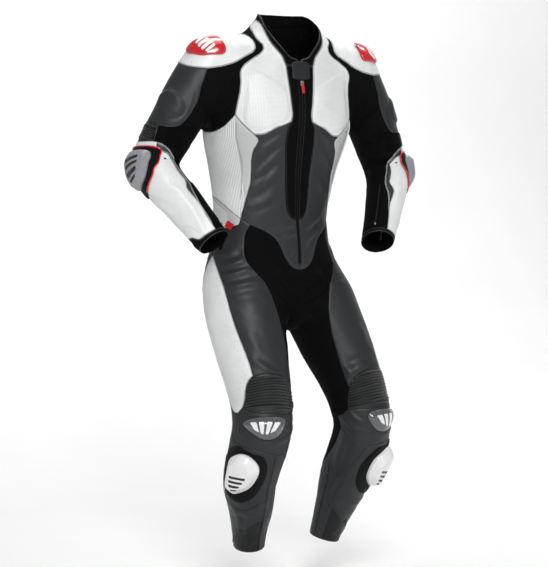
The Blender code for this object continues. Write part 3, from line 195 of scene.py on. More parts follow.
def body_distance(p):
    z = p[:, 2]
    here = section_distance(p, z)
    slope = (section_distance(p, z + 4) - section_distance(p, z - 4)) / 8
    flat = here / np.sqrt(1 + slope**2)
    below = min(row[0] for row in TORSO) - z
    return np.where(below > 0, np.hypot(np.maximum(flat, 0), below), flat)


class Limb:
    """An arm or leg: four-radius sections along a smooth middle line."""

    def __init__(self, rows, rays, turn=((0, 0), (1, 0))):
        rows = np.array(rows, float)
        lengths = np.linalg.norm(np.diff(rows[:, :3], axis=0), axis=1)
        along = np.concatenate([[0], np.cumsum(lengths)])
        fine = curve(along, rows, np.linspace(0, along[-1], 3 * (len(rows) - 1) + 1))
        first = 2 * fine[0] - fine[2]
        fine = np.vstack([first, fine])
        line = fine[:, :3]
        lengths = np.linalg.norm(np.diff(line, axis=0), axis=1)
        self.place = np.concatenate([[0], np.cumsum(lengths)]) - lengths[0]
        self.line = line
        self.radii = np.maximum(fine[:, 3:], 1)
        ends = [np.clip(self.place + step, self.place[0], self.place[-1])
                for step in (-SWING, SWING)]
        back, ahead = [np.stack([np.interp(end, self.place, line[:, k]) for k in range(3)], 1)
                       for end in ends]
        self.along = unit(ahead - back)
        front = np.array([0.0, -1.0, 0.0])
        self.front = unit(front - (self.along @ front)[:, None] * self.along)
        self.out = np.cross(self.front, self.along)
        self.rays = rays
        self.turn = turn

    def frame(self, v):
        parts = (self.line, self.along, self.front, self.out, self.radii)
        return [np.stack([np.interp(v, self.place, part[:, k]) for k in range(part.shape[1])], 1)
                for part in parts]

    def nearest(self, p):
        edge = np.diff(self.line, axis=0)
        gap = p[:, None] - self.line[:-1]
        t = np.clip((gap * edge).sum(2) / (edge**2).sum(1), 0, 1)
        gap -= t[..., None] * edge
        i = (gap**2).sum(2).argmin(1)
        return self.place[i] + t[np.arange(len(p)), i] * np.diff(self.place)[i]

    def distance(self, p):
        v = self.nearest(p)
        line, _, front, out, radii = self.frame(v)
        gap = p - line
        angle = np.arctan2(dot(gap, front), dot(gap, out))
        c, s = np.cos(angle), np.sin(angle)
        wide = np.where(c > 0, radii[:, 0], radii[:, 2])
        deep = np.where(s > 0, radii[:, 1], radii[:, 3])
        return np.linalg.norm(gap, axis=1) - np.hypot(c * wide, s * deep), v

    def ray(self, angle, v, side, slanted):
        turned = np.radians(angle + side * steps(self.turn, v))
        line, along, front, out, _ = self.frame(v)
        ray = np.cos(turned)[:, None] * out + np.sin(turned)[:, None] * front
        if slanted:
            ray = ray + steps(self.rays, v)[:, None] * along
        return line, unit(ray)

    def flat(self, p, side, slanted):
        """Angle and place along the limb whose ray passes through each point."""
        low = np.full(len(p), self.place[0])
        high = np.full(len(p), self.place[-1])
        for _ in range(HALVINGS):
            v = (low + high) / 2
            line, along, *_ = self.frame(v)
            gap = p - line
            ahead = dot(gap, along)
            across = np.sqrt(np.maximum(dot(gap, gap) - ahead**2, 0))
            past = ahead > across * steps(self.rays, v) * slanted
            low = np.where(past, v, low)
            high = np.where(past, high, v)
        line, _, front, out, _ = self.frame(v)
        gap = p - line
        angle = np.degrees(np.arctan2(dot(gap, front), dot(gap, out)))
        return angle - side * steps(self.turn, v), v


arm = Limb(ARM, ARM_RAYS)
leg = Limb(LEG, LEG_RAYS, LEG_TURN)


def join(a, b, radius):
    """The smaller of two distances, with a fillet of a radius where they meet."""
    near = np.maximum(radius - np.abs(a - b), 0) / radius
    return np.minimum(a, b) - near**2 * radius / 4


def fading(v, blend):
    """Radius of a limb's blend into the body at places along it."""
    radius, full, gone = blend
    return radius * (1 - ramp(v, full, gone)) + 0.1


def distance(p, chart=""):
    """How far points are outside the plain suit, in mm; it is alike on both sides.

    With a chart, the sleeve and the body beside it below the elbow don't meet.
    """
    q = p.copy()
    q[:, 0] = np.abs(q[:, 0])
    far = body_distance(q)
    high = q[:, 2] > (ARM_ALONE[0] if chart in ("B", "L") else ARM_ENDS)
    if high.any():
        to_arm, v = arm.distance(q[high])
        if chart == "A":
            far[high] = np.where(v > ARM_ALONE[1], 1e3, far[high])
        far[high] = join(far[high], to_arm, fading(v, ARM_BLEND))
    if chart == "A":
        return far
    low = q[:, 2] < LEG_STARTS
    if low.any():
        here = q[low]
        to_leg, v = leg.distance(here)
        other, _ = leg.distance(here * [-1, 1, 1])
        radius = fading(v, LEG_BLEND)
        far[low] = join(far[low], join(to_leg, other, radius), radius)
    return far


def normals(p, chart=""):
    """Ways out of the form at points near it."""
    tips = [distance(p + NORMAL_STEP * axis, chart) - distance(p - NORMAL_STEP * axis, chart)
            for axis in np.eye(3)]
    return unit(np.stack(tips, 1))


def cast(start, ray):
    """Where rays from inside meet the form."""
    first, rounds, share = CAST
    reach = np.full(len(start), first)
    for _ in range(rounds):
        reach -= share * distance(start + reach[:, None] * ray)
    return start + reach[:, None] * ray


def body_ray(angle, z):
    """Level rays from the body's middle, 0 degrees to the front."""
    turned = np.radians(angle)
    start = np.stack([0 * z, body_section(z)[1], z], 1)
    return start, np.stack([np.sin(turned), -np.cos(turned), 0 * z], 1)


def on_form(chart, angle, place, side=1, slanted=False):
    """Points of the plain form from chart readings, on the +X half."""
    angle = np.asarray(angle, float)
    place = np.asarray(place, float)
    if chart == "B":
        return cast(*body_ray(angle, place))
    limb = arm if chart == "A" else leg
    return cast(*limb.ray(angle, place, side, slanted))


def chart_of(chart, p, side=1, slanted=False):
    """Chart readings of points, the other way round."""
    if chart == "B":
        middle = body_section(p[:, 2])[1]
        return np.degrees(np.arctan2(p[:, 0], middle - p[:, 1])), p[:, 2].copy()
    limb = arm if chart == "A" else leg
    return limb.flat(p, side, slanted)


def inside(points, ring):
    """Whether flat points are inside a closed ring."""
    a, b = ring, np.roll(ring, -1, 0)
    x, y = points[:, :1], points[:, 1:]
    rising = (a[:, 1] > y) != (b[:, 1] > y)
    run = np.where(b[:, 1] == a[:, 1], 1e-9, b[:, 1] - a[:, 1])
    cross = a[:, 0] + (y - a[:, 1]) * (b[:, 0] - a[:, 0]) / run
    return (rising & (x < cross)).sum(1) % 2 == 1


def reach_to(points, line, closed=True):
    """Distance in the flat from points to a line."""
    a = line if closed else line[:-1]
    b = np.roll(line, -1, 0) if closed else line[1:]
    edge = b - a
    t = ((points[:, None] - a) * edge).sum(2) / np.maximum((edge**2).sum(1), 1e-12)
    near = a + np.clip(t, 0, 1)[..., None] * edge
    return np.linalg.norm(points[:, None] - near, axis=2).min(1)


def spread_points(ring, spacing):
    """A staggered grid inside a ring, clear of its edge."""
    low, high = ring.min(0), ring.max(0)
    rows = []
    for k, y in enumerate(np.arange(low[1] + spacing / 2, high[1], spacing)):
        x = np.arange(low[0] + (0.25 + 0.5 * (k % 2)) * spacing, high[0], spacing)
        rows.append(np.stack([x, 0 * x + y], 1))
    points = np.vstack(rows) if rows else np.zeros((0, 2))
    points = points[inside(points, ring)]
    return points[reach_to(points, ring) > CLEAR * spacing] if len(points) else points


# ---------------------------------------------------------------- from the stance and back

ROUNDS_BACK = 8            # rounds that settle which points are on an arm


def turned(z, wide, chart=""):
    """Turn and sideways lean of the suit at a height."""
    armed = ramp(wide, *ARM_SIDE) * ramp(z, *ARM_ABOVE) * (chart != "L")
    height = z + armed * (np.maximum(z, ARM_HEIGHT) - z)
    turn = np.radians(steps(TWIST, height))
    return np.cos(turn), np.sin(turn), steps(LEAN, height)


def stance(p, chart=""):
    """The suit turned and leant into the way it hangs in the round, in metres."""
    c, s, lean = turned(p[:, 2], np.abs(p[:, 0]), chart)
    x = c * p[:, 0] - s * p[:, 1] + lean
    return np.stack([x, s * p[:, 0] + c * p[:, 1], p[:, 2]], 1) * MM


def unstance(p, chart=""):
    """The other way round, from metres to mm of the plain form."""
    p = p / MM
    q = p.copy()
    for _ in range(ROUNDS_BACK):
        c, s, lean = turned(p[:, 2], np.abs(q[:, 0]), chart)
        x = p[:, 0] - lean
        q = np.stack([c * x + s * p[:, 1], c * p[:, 1] - s * x, p[:, 2]], 1)
    return q


# ---------------------------------------------------------------- materials

class Looks:
    """A material whose colour, roughness and bump are made of nodes."""

    def __init__(self, name, roughness, **fixed):
        self.material = bpy.data.materials.new(name)
        self.material.use_nodes = True
        self.tree = self.material.node_tree
        self.shader = self.tree.nodes["Principled BSDF"]
        self.set(Roughness=roughness, **fixed)
        self.where = self.node("ShaderNodeTexCoord").outputs["Object"]

    def set(self, **fixed):
        for name, value in fixed.items():
            self.shader.inputs[name.replace("_", " ")].default_value = value

    def node(self, kind, inputs=None, **settings):
        made = self.tree.nodes.new(kind)
        for name, value in settings.items():
            setattr(made, name, value)
        for name, value in (inputs or {}).items():
            if isinstance(value, bpy.types.NodeSocket):
                self.tree.links.new(value, made.inputs[name])
            else:
                made.inputs[name].default_value = value
        return made

    def math(self, operation, a, b=0.0, c=0.0):
        return self.node("ShaderNodeMath", {0: a, 1: b, 2: c}, operation=operation).outputs[0]

    def add(self, a, b):
        return self.math("ADD", a, b)

    def times(self, a, b):
        return self.math("MULTIPLY", a, b)

    def noise(self, scale, detail=2.0, rough=0.5, vector=None):
        return self.node("ShaderNodeTexNoise", {"Vector": vector or self.where, "Scale": scale,
                                                "Detail": detail, "Roughness": rough}).outputs[0]

    def remap(self, value, low, high, to_low, to_high):
        return self.node("ShaderNodeMapRange", {0: value, 1: low, 2: high, 3: to_low,
                                                4: to_high}).outputs[0]

    def mix(self, factor, a, b):
        made = self.node("ShaderNodeMix", data_type="RGBA")
        for slot, value in ((0, factor), (6, a), (7, b)):
            if isinstance(value, bpy.types.NodeSocket):
                self.tree.links.new(value, made.inputs[slot])
            else:
                made.inputs[slot].default_value = value
        return made.outputs[2]

    def paint(self, shade, colour, light=1.0):
        """A colour at a share of its brightness."""
        return self.mix(shade, tint(colour, 0.0), tint(colour, light))

    def reading(self, name):
        return self.node("ShaderNodeAttribute", attribute_name=name).outputs["Fac"]

    def flat(self):
        """Places in the flat of the cloth, in mm."""
        place = self.node("ShaderNodeAttribute", attribute_name="flat").outputs["Vector"]
        split = self.node("ShaderNodeSeparateXYZ", {0: place})
        return split.outputs[0], split.outputs[1]

    def finish(self, colour=None, height=None, strength=0.5, deep=0.0004, roughness=None):
        if colour is not None:
            self.tree.links.new(colour, self.shader.inputs["Base Color"])
        if roughness is not None:
            self.tree.links.new(roughness, self.shader.inputs["Roughness"])
        if height is not None:
            bump = self.node("ShaderNodeBump", {"Strength": strength, "Distance": deep,
                                                "Height": height})
            self.tree.links.new(bump.outputs[0], self.shader.inputs["Normal"])
        return self.material


def tint(colour, by):
    return (*(min(1.0, channel * by) for channel in colour), 1)


def holes(look, pitch, size, offset=0.0):
    """1 in the rows of punched holes, 0 between them."""
    across, along = look.flat()
    row = look.math("DIVIDE", along, pitch)
    shift = look.times(look.math("MODULO", look.math("FLOOR", row), 2.0), offset)
    column = look.add(look.math("DIVIDE", across, pitch), shift)
    x = look.math("SUBTRACT", look.math("FRACT", column), 0.5)
    y = look.math("SUBTRACT", look.math("FRACT", row), 0.5)
    far = look.math("SQRT", look.add(look.times(x, x), look.times(y, y)))
    inside_hole = look.remap(far, size / pitch * 0.4, size / pitch * 0.6, 1.0, 0.0)
    return look.times(inside_hole, look.reading("pierced"))


def leather(name, colour, roughness, hole_rows=None, grain=1.0, worn=0.9, second=None, **fixed):
    """Grained leather with painted shade along its seams and in the valleys of its ribs and
    pleats, punched where hole_rows says.
    """
    look = Looks(name, roughness, **fixed)
    pebble = look.node("ShaderNodeTexVoronoi", {"Vector": look.where, "Scale": 620.0 * grain},
                       feature="SMOOTH_F1").outputs["Distance"]
    fine = look.noise(2400.0 * grain, 3.0)
    hide = look.noise(26.0, 4.0, 0.6)
    cloudy = look.noise(7.0, 2.0)
    shade = look.add(look.remap(hide, 0.3, 0.7, -0.035, 0.035),
                     look.remap(cloudy, 0.3, 0.7, worn - 0.02, 1.02))
    # painted shade: darker near the panel's edge, where it sinks into its seam
    shade = look.times(shade, look.remap(look.reading("edge"), 0.0, 1.6, 0.62, 1.0))
    # painted shade: darker in the valleys between ribs and pleats
    shade = look.times(shade, look.remap(look.reading("crest"), 0.0, 0.7, 0.66, 1.0))
    paint = look.paint(shade, colour)
    height = look.add(pebble, look.times(fine, 0.5))
    rough = look.remap(look.add(hide, fine), 0.6, 1.4, roughness - 0.06, roughness + 0.08)
    if hole_rows:
        open_hole = holes(look, *hole_rows)
        # holes painted darker: partly the black lining seen through them, partly painted shade
        # inside them
        paint = look.mix(open_hole, paint, tint(colour, 0.42))
        height = look.math("SUBTRACT", height, look.times(open_hole, 3.0))
    if second:
        here = look.remap(look.reading("zone"), -0.25, 0.25, 0.0, 1.0)
        paint = look.mix(here, paint, look.paint(shade, second))
    return look.finish(paint, height, 0.35, 0.0004, rough)


def stretch(name, colour, pitch, roughness=0.85, depth=0.0005, **fixed):
    """Ribbed stretch cloth: fine raised lines that run round the limb."""
    look = Looks(name, roughness, **fixed)
    across, along = look.flat()
    line = look.math("SINE", look.times(along, 2 * math.pi / pitch))
    knit = look.math("SINE", look.times(across, 2 * math.pi / (pitch * 0.8)))
    fuzz = look.noise(1500.0, 3.0)
    cloudy = look.noise(9.0, 3.0)
    height = look.add(look.times(line, 0.5), look.times(knit, 0.22))
    height = look.add(height, look.times(fuzz, 0.6))
    # painted shading: the fine ribs are lighter where they are raised
    shade = look.add(look.remap(cloudy, 0.3, 0.7, 0.8, 1.15), look.times(line, 0.12))
    # painted shade: darker near the panel's edge, where it sinks into its seam
    shade = look.times(shade, look.remap(look.reading("edge"), 0.0, 1.4, 0.6, 1.0))
    # painted shade in the rib valleys, and a painted highlight on the crests of the armpit ribs
    shade = look.times(shade, look.remap(look.reading("crest"), 0.4, 2.0, 0.45, 1.92))
    return look.finish(look.paint(shade, colour), height, 0.5, depth,
                       look.remap(fuzz, 0.3, 0.7, roughness - 0.05, roughness + 0.08))


def plastic(name, colour, roughness, coat=0.5, metal=0.0, **fixed):
    """Moulded plastic or plain metal with slight scratches."""
    look = Looks(name, roughness, Metallic=metal, Coat_Weight=coat, Coat_Roughness=0.08, **fixed)
    drawn = look.node("ShaderNodeMapping", {"Vector": look.where, "Scale": (90, 90, 900),
                                            "Rotation": (0.4, 0.7, 0.2)}).outputs[0]
    scratch = look.noise(2.0, 5.0, vector=drawn)
    mottle = look.noise(60.0, 3.0)
    paint = look.paint(look.remap(mottle, 0.3, 0.7, 0.93, 1.0), colour)
    return look.finish(paint, look.add(scratch, mottle), 0.12, 0.0003,
                       look.remap(scratch, 0.35, 0.7, roughness, roughness + 0.14))


def pile(name, colour):
    """The fuzzy face of hook-and-loop."""
    look = Looks(name, 0.95, Sheen_Weight=0.06, Sheen_Roughness=0.5, Specular_IOR_Level=0.2)
    tuft = look.noise(1900.0, 4.0, 0.7)
    clump = look.noise(260.0, 3.0)
    height = look.add(tuft, look.times(clump, 0.8))
    # painted shade: darker where the tufts are low
    paint = look.paint(look.remap(height, 0.6, 1.2, 0.35, 1.0), colour, 1.2)
    return look.finish(paint, height, 0.8, 0.0009, look.remap(tuft, 0.3, 0.7, 0.85, 1.0))


def twill(name, colour, pitch, roughness=0.6, **fixed):
    """Woven tape with slanting ribs."""
    look = Looks(name, roughness, **fixed)
    slant = look.math("SINE", look.times(look.add(*look.flat()), 2 * math.pi / pitch))
    fuzz = look.noise(1800.0, 2.0)
    height = look.add(look.times(slant, 0.5), look.times(fuzz, 0.4))
    # painted shade: darker in the low parts of the weave
    paint = look.paint(look.remap(height, -0.3, 0.8, 0.7, 1.0), colour, 1.3)
    return look.finish(paint, height, 0.5, 0.0004,
                       look.remap(fuzz, 0.3, 0.7, roughness - 0.05, roughness + 0.1))


WHITE = (0.80, 0.815, 0.815)
CHARCOAL = (0.0205, 0.0225, 0.0245)
BLACK = (0.0032, 0.0031, 0.0036)
RED = (0.58, 0.002, 0.006)

MATERIALS = {
    "white_leather": leather("white_leather", WHITE, 0.42, (3.1, 1.15), Coat_Weight=0.05),
    "white_plain": leather("white_leather_plain", WHITE, 0.42, (12.5, 1.7, 0.5), Coat_Weight=0.05),
    "white_trimmed": leather("white_leather_trimmed", WHITE, 0.42, (12.5, 1.7, 0.5),
                             second=CHARCOAL, Coat_Weight=0.05),
    "dark_trimmed": leather("dark_leather_trimmed", CHARCOAL, 0.46, worn=0.86,
                            second=tint(CHARCOAL, 0.22)[:3], Specular_IOR_Level=0.35),
    "white_edge": leather("white_leather_edge", tint(WHITE, 1.08)[:3], 0.36, Coat_Weight=0.1),
    "dark_leather": leather("dark_leather", CHARCOAL, 0.46, grain=0.9, worn=0.86,
                            Specular_IOR_Level=0.35),
    "dark_edge": leather("dark_leather_edge", tint(CHARCOAL, 1.9)[:3], 0.4),
    "pleat_leather": leather("pleat_leather", tint(CHARCOAL, 0.5)[:3], 0.44, worn=0.8),
    "black_stretch": stretch("black_stretch", BLACK, 1.6, Specular_IOR_Level=0.07),
    "lining": stretch("lining_mesh", BLACK, 3.2, 0.95, 0.0008, Specular_IOR_Level=0.15),
    "zip_tape": twill("zip_tape", BLACK, 1.5, 0.8, Specular_IOR_Level=0.12),
    "zip_teeth": plastic("zip_teeth", tint(BLACK, 1.8)[:3], 0.5, 0.0, Specular_IOR_Level=0.3),
    "hook_pad": pile("hook_pad", BLACK),
    "white_plastic": plastic("white_plastic", (0.84, 0.84, 0.85), 0.22),
    "grey_plastic": plastic("grey_plastic", (0.27, 0.27, 0.30), 0.24),
    "smoke_plastic": plastic("smoke_plastic", (0.085, 0.088, 0.092), 0.12, 0.9),
    "black_plastic": plastic("black_plastic", (0.012, 0.012, 0.013), 0.3),
    "red_plastic": plastic("red_plastic", RED, 0.12, 0.9),
    "steel": plastic("steel", (0.42, 0.42, 0.44), 0.26, 0.0, 1.0),
    "white_thread": twill("white_thread", (0.74, 0.75, 0.75), 0.6, 0.5),
    "black_thread": twill("black_thread", (0.05, 0.052, 0.055), 0.6, 0.5),
    "red_cloth": twill("red_cloth", (0.55, 0.004, 0.012), 0.9, 0.7),
    "red_thread": twill("red_thread", (0.6, 0.01, 0.02), 0.6, 0.5),
}

# ---------------------------------------------------------------- panels of cloth

# panel: chart, its middle in degrees, look, rows of stitches in from its edge
PANELS = {
    "chest": ("B", 60, "white_leather", (4.4,)),
    "flank": ("B", 60, "white_leather", (3.6,)),
    "hip_ribs": ("B", 60, "white_plain", (2.6,)),
    "abdomen": ("B", 60, "dark_leather", (3.2, 7.4)),
    "placket": ("B", 60, "black_stretch", (2.6,)),
    "thigh_front": ("L", 80, "dark_leather", (3.2,)),
    "thigh_outer": ("L", 80, "white_plain", (3.4, 15)),
    "thigh_inner": ("L", 80, "black_stretch", ()),
    "seat": ("L", 80, "dark_leather", (3.2, 7.4)),
    "knee_pleats": ("L", 80, "pleat_leather", ()),
    "knee_cup": ("L", 80, "dark_leather", (3.2,)),
    "shin": ("L", 80, "dark_trimmed", (3.2,)),
    "calf": ("L", 80, "black_stretch", ()),
    "sleeve_front": ("A", 60, "black_stretch", ()),
    "sleeve_back": ("A", 60, "black_stretch", ()),
    "shoulder_cup": ("A", 60, "white_plain", (4.2, 22)),
    "sleeve_outer": ("A", 60, "dark_leather", (3.2,)),
    "elbow_pleats": ("A", 60, "pleat_leather", ()),
    "forearm": ("A", 60, "white_trimmed", (3.4,)),
    "cuff": ("A", 60, "black_stretch", (3.0,)),
    "collar": ("B", 0, "black_stretch", (3.0,)),
    "back": ("B", 180, "dark_leather", (3.2, 7.4)),
    "groin": ("B", 0, "black_stretch", ()),
    "main_zip": ("B", 0, "zip_tape", ()),
}
SPREAD = {"A": 1.05, "B": 2.6, "L": 1.4}                  # mm a degree, near enough
OUTER, RIM, INNER = 0, 1, 2
CUTS = 5                   # most times that a long edge is halved
SKIN = -1.1                # height over which a solid's point is on its outer face
INSIDE = 15                # longest edge of a panel's inner face
LINED = 3.0                # how far the lining is under the form
SEAM_DIP = 1.3             # how far a panel's edge sinks into its seam
SEAM_WIDE = 1.7            # how far in from the edge it does
RIPPLE_IN = (2, 12)        # how far in its unevenness starts, and is whole
CREASE_IN = 10             # how far in its creases are whole
CLOSED = (8, 12)           # gaps to the form up to which points are moved, and past which not
CLOSED_INSIDE = (3, 5)     # the same for the lining
FAR_IN = 9.0               # edge or zone reading that is far from any edge
NARROW = 0.4               # share of its box below which a cut is taken as a bent strip
FACING = 0.85              # how squarely a face looks out or in where its height is in doubt
DEEPER = 1.35              # how much the creases stand out
# panels whose own creases are laid anew, and the height of the ribs on the others
PLAIN = ("abdomen", "thigh_front", "seat", "thigh_inner", "shin", "sleeve_back", "forearm")
RIBBED = {"flank": 1.2, "hip_ribs": 1.2, "knee_pleats": 2.6, "elbow_pleats": 2.6,
          "sleeve_front": 1.2}
FINER = {"flank": 4.0, "hip_ribs": 4.0, "knee_pleats": 4.5, "elbow_pleats": 4.5,
         "abdomen": 5.0, "thigh_front": 5.5, "sleeve_outer": 5.0, "shoulder_cup": 5.0}
# second colour inside an outline in the panel's chart
ZONES = {
    "forearm": ((50, 370), (55, 388), (62, 394), (88, 398), (108, 425), (117, 465), (123, 510),
                (106, 535), (110, 579), (107, 612), (100, 690), (210, 690), (210, 370)),
    "shin": ((-12, 893), (-6, 870), (20, 845), (44, 820), (54, 830), (81, 811), (112, 790),
             (114, 840), (116, 893)),
}
# creases: chart, side (0 for both), height, width, places along the crest
CREASES = (
    ("B", -1, 2.8, 9, ((18, -232), (28, -249), (39, -268), (48, -296))),
    ("B", -1, 2.6, 8, ((19, -269), (38, -306), (52, -343))),
    ("B", -1, 1.5, 6, ((39, -330), (50, -354), (57, -370))),
    ("B", -1, 2.6, 9, ((23, -316), (42, -352), (57, -381))),
    ("B", -1, 2.2, 9, ((30, -380), (47, -402), (63, -417))),
    ("B", -1, 2.0, 7, ((5, -452), (22, -463), (37, -477))),
    ("B", -1, 2.0, 6, ((4, -475), (18, -486), (30, -507))),
    ("B", -1, 1.6, 5, ((7, -508), (12, -524), (17, -538))),
    ("B", 1, 1.8, 9, ((33, -339), (43, -372), (51, -401))),
    ("B", 1, 2.2, 8, ((46, -431), (27, -450), (7, -474))),
    ("B", 1, 1.8, 7, ((35, -470), (18, -492), (6, -520))),
    ("B", 1, 1.5, 9, ((29, -270), (42, -297), (50, -323))),
    ("B", 1, 1.4, 8, ((24, -214), (34, -240), (44, -262))),
    ("L", -1, 3.4, 10, ((12, 156), (30, 158), (46, 151), (70, 126))),
    ("L", -1, 2.8, 8, ((16, 184), (34, 184), (52, 177), (78, 158))),
    ("L", -1, 2.8, 10, ((36, 220), (60, 214), (90, 198))),
    ("L", -1, 1.6, 12, ((37, 245), (58, 248), (86, 234))),
    ("L", -1, 1.8, 10, ((-12, 120), (23, 131), (46, 119))),
    ("L", -1, 2.2, 9, ((46, 405), (68, 432), (91, 455), (122, 468))),
    ("L", -1, 1.4, 13, ((53, 340), (62, 375), (61, 412))),
    ("L", 1, 2.6, 12, ((139, 449), (104, 443), (64, 430))),
    ("L", 1, 2.0, 11, ((103, 216), (76, 213), (40, 220))),
    ("L", 1, 1.8, 10, ((134, 408), (125, 438), (122, 462))),
    ("L", 1, 1.5, 14, ((77, 331), (70, 361), (78, 390))),
    ("L", 1, 3.4, 9, ((70, 150), (96, 168), (114, 172), (126, 180), (146, 208))),
    ("L", -1, 3.0, 9, ((110, 186), (126, 196), (146, 222))),
    ("L", 0, 2.4, 10, ((104, 213), (131, 225), (151, 249))),
    ("L", 0, 2.0, 12, ((131, 308), (149, 309), (168, 300))),
    ("L", 0, 2.6, 8, ((186, 488), (168, 506), (150, 512), (136, 506))),
    ("L", 0, 2.2, 8, ((190, 520), (172, 534), (150, 540))),
    ("L", 0, 3.0, 12, ((245, 236), (275, 262), (310, 256))),
    ("L", 0, 2.2, 10, ((252, 282), (280, 296), (302, 288))),
    ("L", 0, 2.4, 10, ((255, 420), (285, 434), (315, 424))),
    ("L", 0, 3.2, 9, ((232, 520), (262, 534), (300, 524))),
    ("L", 0, 2.8, 8, ((226, 556), (256, 562), (288, 548))),
    ("L", 0, 2.2, 11, ((240, 640), (268, 662), (300, 652))),
    ("L", 0, 1.4, 4, ((4, 532), (21, 518), (53, 520), (91, 520), (120, 530))),
    ("L", 0, 1.2, 4, ((2, 553), (22, 570), (46, 577), (68, 580), (111, 572))),
    ("L", 0, 1.8, 6, ((172, 538), (138, 566), (96, 579), (60, 588))),
    ("L", 1, 1.8, 6, ((151, 522), (132, 548), (109, 566))),
    ("L", -1, 2.6, 9, ((8, 748), (42, 768), (83, 761), (122, 738))),
    ("L", 1, 1.8, 10, ((20, 756), (50, 768), (84, 760))),
    ("L", -1, 2.0, 8, ((26, 770), (42, 790), (39, 818))),
    ("L", -1, 2.0, 8, ((96, 742), (76, 786), (52, 812))),
    ("L", 0, 1.6, 8, ((60, 846), (84, 856), (106, 848))),
    ("L", 0, 2.0, 9, ((128, 700), (138, 742), (142, 790))),
    ("L", 0, 2.2, 9, ((-60, 620), (-72, 668), (-66, 720))),
    ("L", 0, 2.0, 9, ((150, 600), (160, 640), (158, 690))),
    ("A", -1, 3.0, 9, ((126, 158), (134, 190), (142, 226))),
    ("A", -1, 2.2, 8, ((112, 176), (122, 204), (134, 236))),
    ("A", 0, 2.6, 9, ((88, 316), (112, 294), (134, 262))),
    ("A", 0, 2.8, 9, ((66, 352), (84, 336), (108, 330), (140, 338))),
    ("A", 0, 2.2, 9, ((96, 372), (124, 366), (152, 372))),
    ("A", 1, 2.6, 10, ((110, 176), (124, 210), (150, 230))),
    ("A", 0, 2.2, 9, ((150, 400), (165, 440), (180, 470))),
    ("A", 0, 1.7, 4, ((84, 232), (90, 262), (84, 296), (66, 322))),
    ("A", 0, 1.4, 4, ((66, 226), (76, 253), (78, 287), (64, 313), (34, 330))),
    ("A", -1, 2.0, 8, ((84, 540), (79, 590), (64, 637), (54, 660))),
    ("A", 0, 1.6, 10, ((-16, 500), (8, 532), (16, 577))),
    ("A", 0, 1.6, 10, ((-20, 576), (14, 588), (48, 606))),
    ("A", 0, 1.4, 9, ((64, 498), (80, 520), (88, 545))),
    ("A", 1, 1.8, 9, ((90, 470), (96, 510), (90, 560))),
    ("A", 0, 1.6, 7, ((-34, 640), (-20, 652), (4, 655))),
    ("A", 0, 3.0, 10, ((268, 240), (288, 262), (308, 258))),
    ("A", 0, 2.6, 9, ((246, 336), (275, 350), (300, 344))),
    ("A", 0, 2.4, 9, ((240, 372), (262, 384), (290, 378))),
    ("A", 0, 2.0, 10, ((220, 470), (240, 500), (246, 540))),
    ("B", 0, 2.4, 12, ((112, -300), (134, -318), (156, -312))),
    ("B", 0, 2.0, 11, ((120, -352), (142, -370), (166, -366))),
    ("B", 0, 1.6, 13, ((128, -190), (140, -224), (146, -260))),
    ("B", -1, 1.8, 8, ((50, -534), (40, -520), (30, -512))),
)
CREASE_PATHS = []

SLOT_OF = {row["node"]: row["material_slot"] for row in frame["record"]["subparts"]}


def side_of(node):
    return -1 if node.endswith("_right") else 1


def base_of(node):
    return node.rsplit("_", 1)[0] if node.endswith(("_left", "_right")) else node


def node_mesh(node, chart):
    """A node's points in mm of the plain form, each place once, and its triangles."""
    data = frame["nodes"][node].data
    data.calc_loop_triangles()
    points = np.zeros(len(data.vertices) * 3, np.float32)
    data.vertices.foreach_get("co", points)
    faces = np.zeros(len(data.loop_triangles) * 3, np.int32)
    data.loop_triangles.foreach_get("vertices", faces)
    places, index = np.unique(points.reshape(-1, 3), axis=0, return_inverse=True)
    return unstance(places.astype(float), chart), index.ravel()[faces].reshape(-1, 3)


def in_parts(function, points, chart, size=40000):
    return np.concatenate([function(points[i:i + size], chart)
                           for i in range(0, len(points), size)])


def unwrapped(angle, faces, middle):
    """Angles made continuous over a mesh."""
    near = [[] for _ in angle]
    for a, b, c in faces.tolist():
        near[a] += (b, c)
        near[b] += (a, c)
        near[c] += (a, b)
    angle = (angle - middle + 180) % 360 + middle - 180
    start = int(np.abs(angle - middle).argmin())
    seen = {start}
    queue = [start]
    for here in queue:
        for other in near[here]:
            if other not in seen:
                seen.add(other)
                angle[other] += 360 * round((angle[here] - angle[other]) / 360)
                queue.append(other)
    return angle


def refined(points, faces, kind, readings, fine):
    """The mesh with its outer faces cut small, and a narrow border along its edge."""
    shape = bmesh.new()
    layers = [shape.verts.layers.float.new(name) for name in ("height", "across", "along")]
    made = [shape.verts.new(point) for point in points]
    for vert, values in zip(made, readings):
        for layer, value in zip(layers, values):
            vert[layer] = value
    for face, what in zip(faces.tolist(), kind.tolist()):
        shape.faces.new([made[i] for i in face]).material_index = what
    for _ in range(CUTS):
        long = [edge for edge in shape.edges if edge.calc_length() > (
            fine if any(face.material_index == OUTER for face in edge.link_faces) else INSIDE)
            and RIM not in {face.material_index for face in edge.link_faces}]
        if not long:
            break
        bmesh.ops.subdivide_edges(shape, edges=long, cuts=1)
        bmesh.ops.triangulate(shape, faces=[f for f in shape.faces if len(f.verts) > 3])
    for width in BORDER:
        outer = [face for face in shape.faces if face.material_index == OUTER]
        bmesh.ops.inset_region(shape, faces=outer, thickness=width, use_even_offset=True,
                               use_interpolate=True, use_boundary=True)
    bmesh.ops.triangulate(shape, faces=[f for f in shape.faces if len(f.verts) > 3])
    shape.verts.index_update()
    shape.verts.ensure_lookup_table()
    points = np.array([vert.co for vert in shape.verts])
    values = np.array([[vert[layer] for layer in layers] for vert in shape.verts])
    faces = np.array([[vert.index for vert in face.verts] for face in shape.faces])
    kind = np.array([face.material_index for face in shape.faces])
    ring = [(edge.verts[0].index, edge.verts[1].index) for edge in shape.edges
            if sorted({face.material_index for face in edge.link_faces}) == [OUTER, RIM]]
    shape.free()
    return points, values, faces, kind, chained(ring)


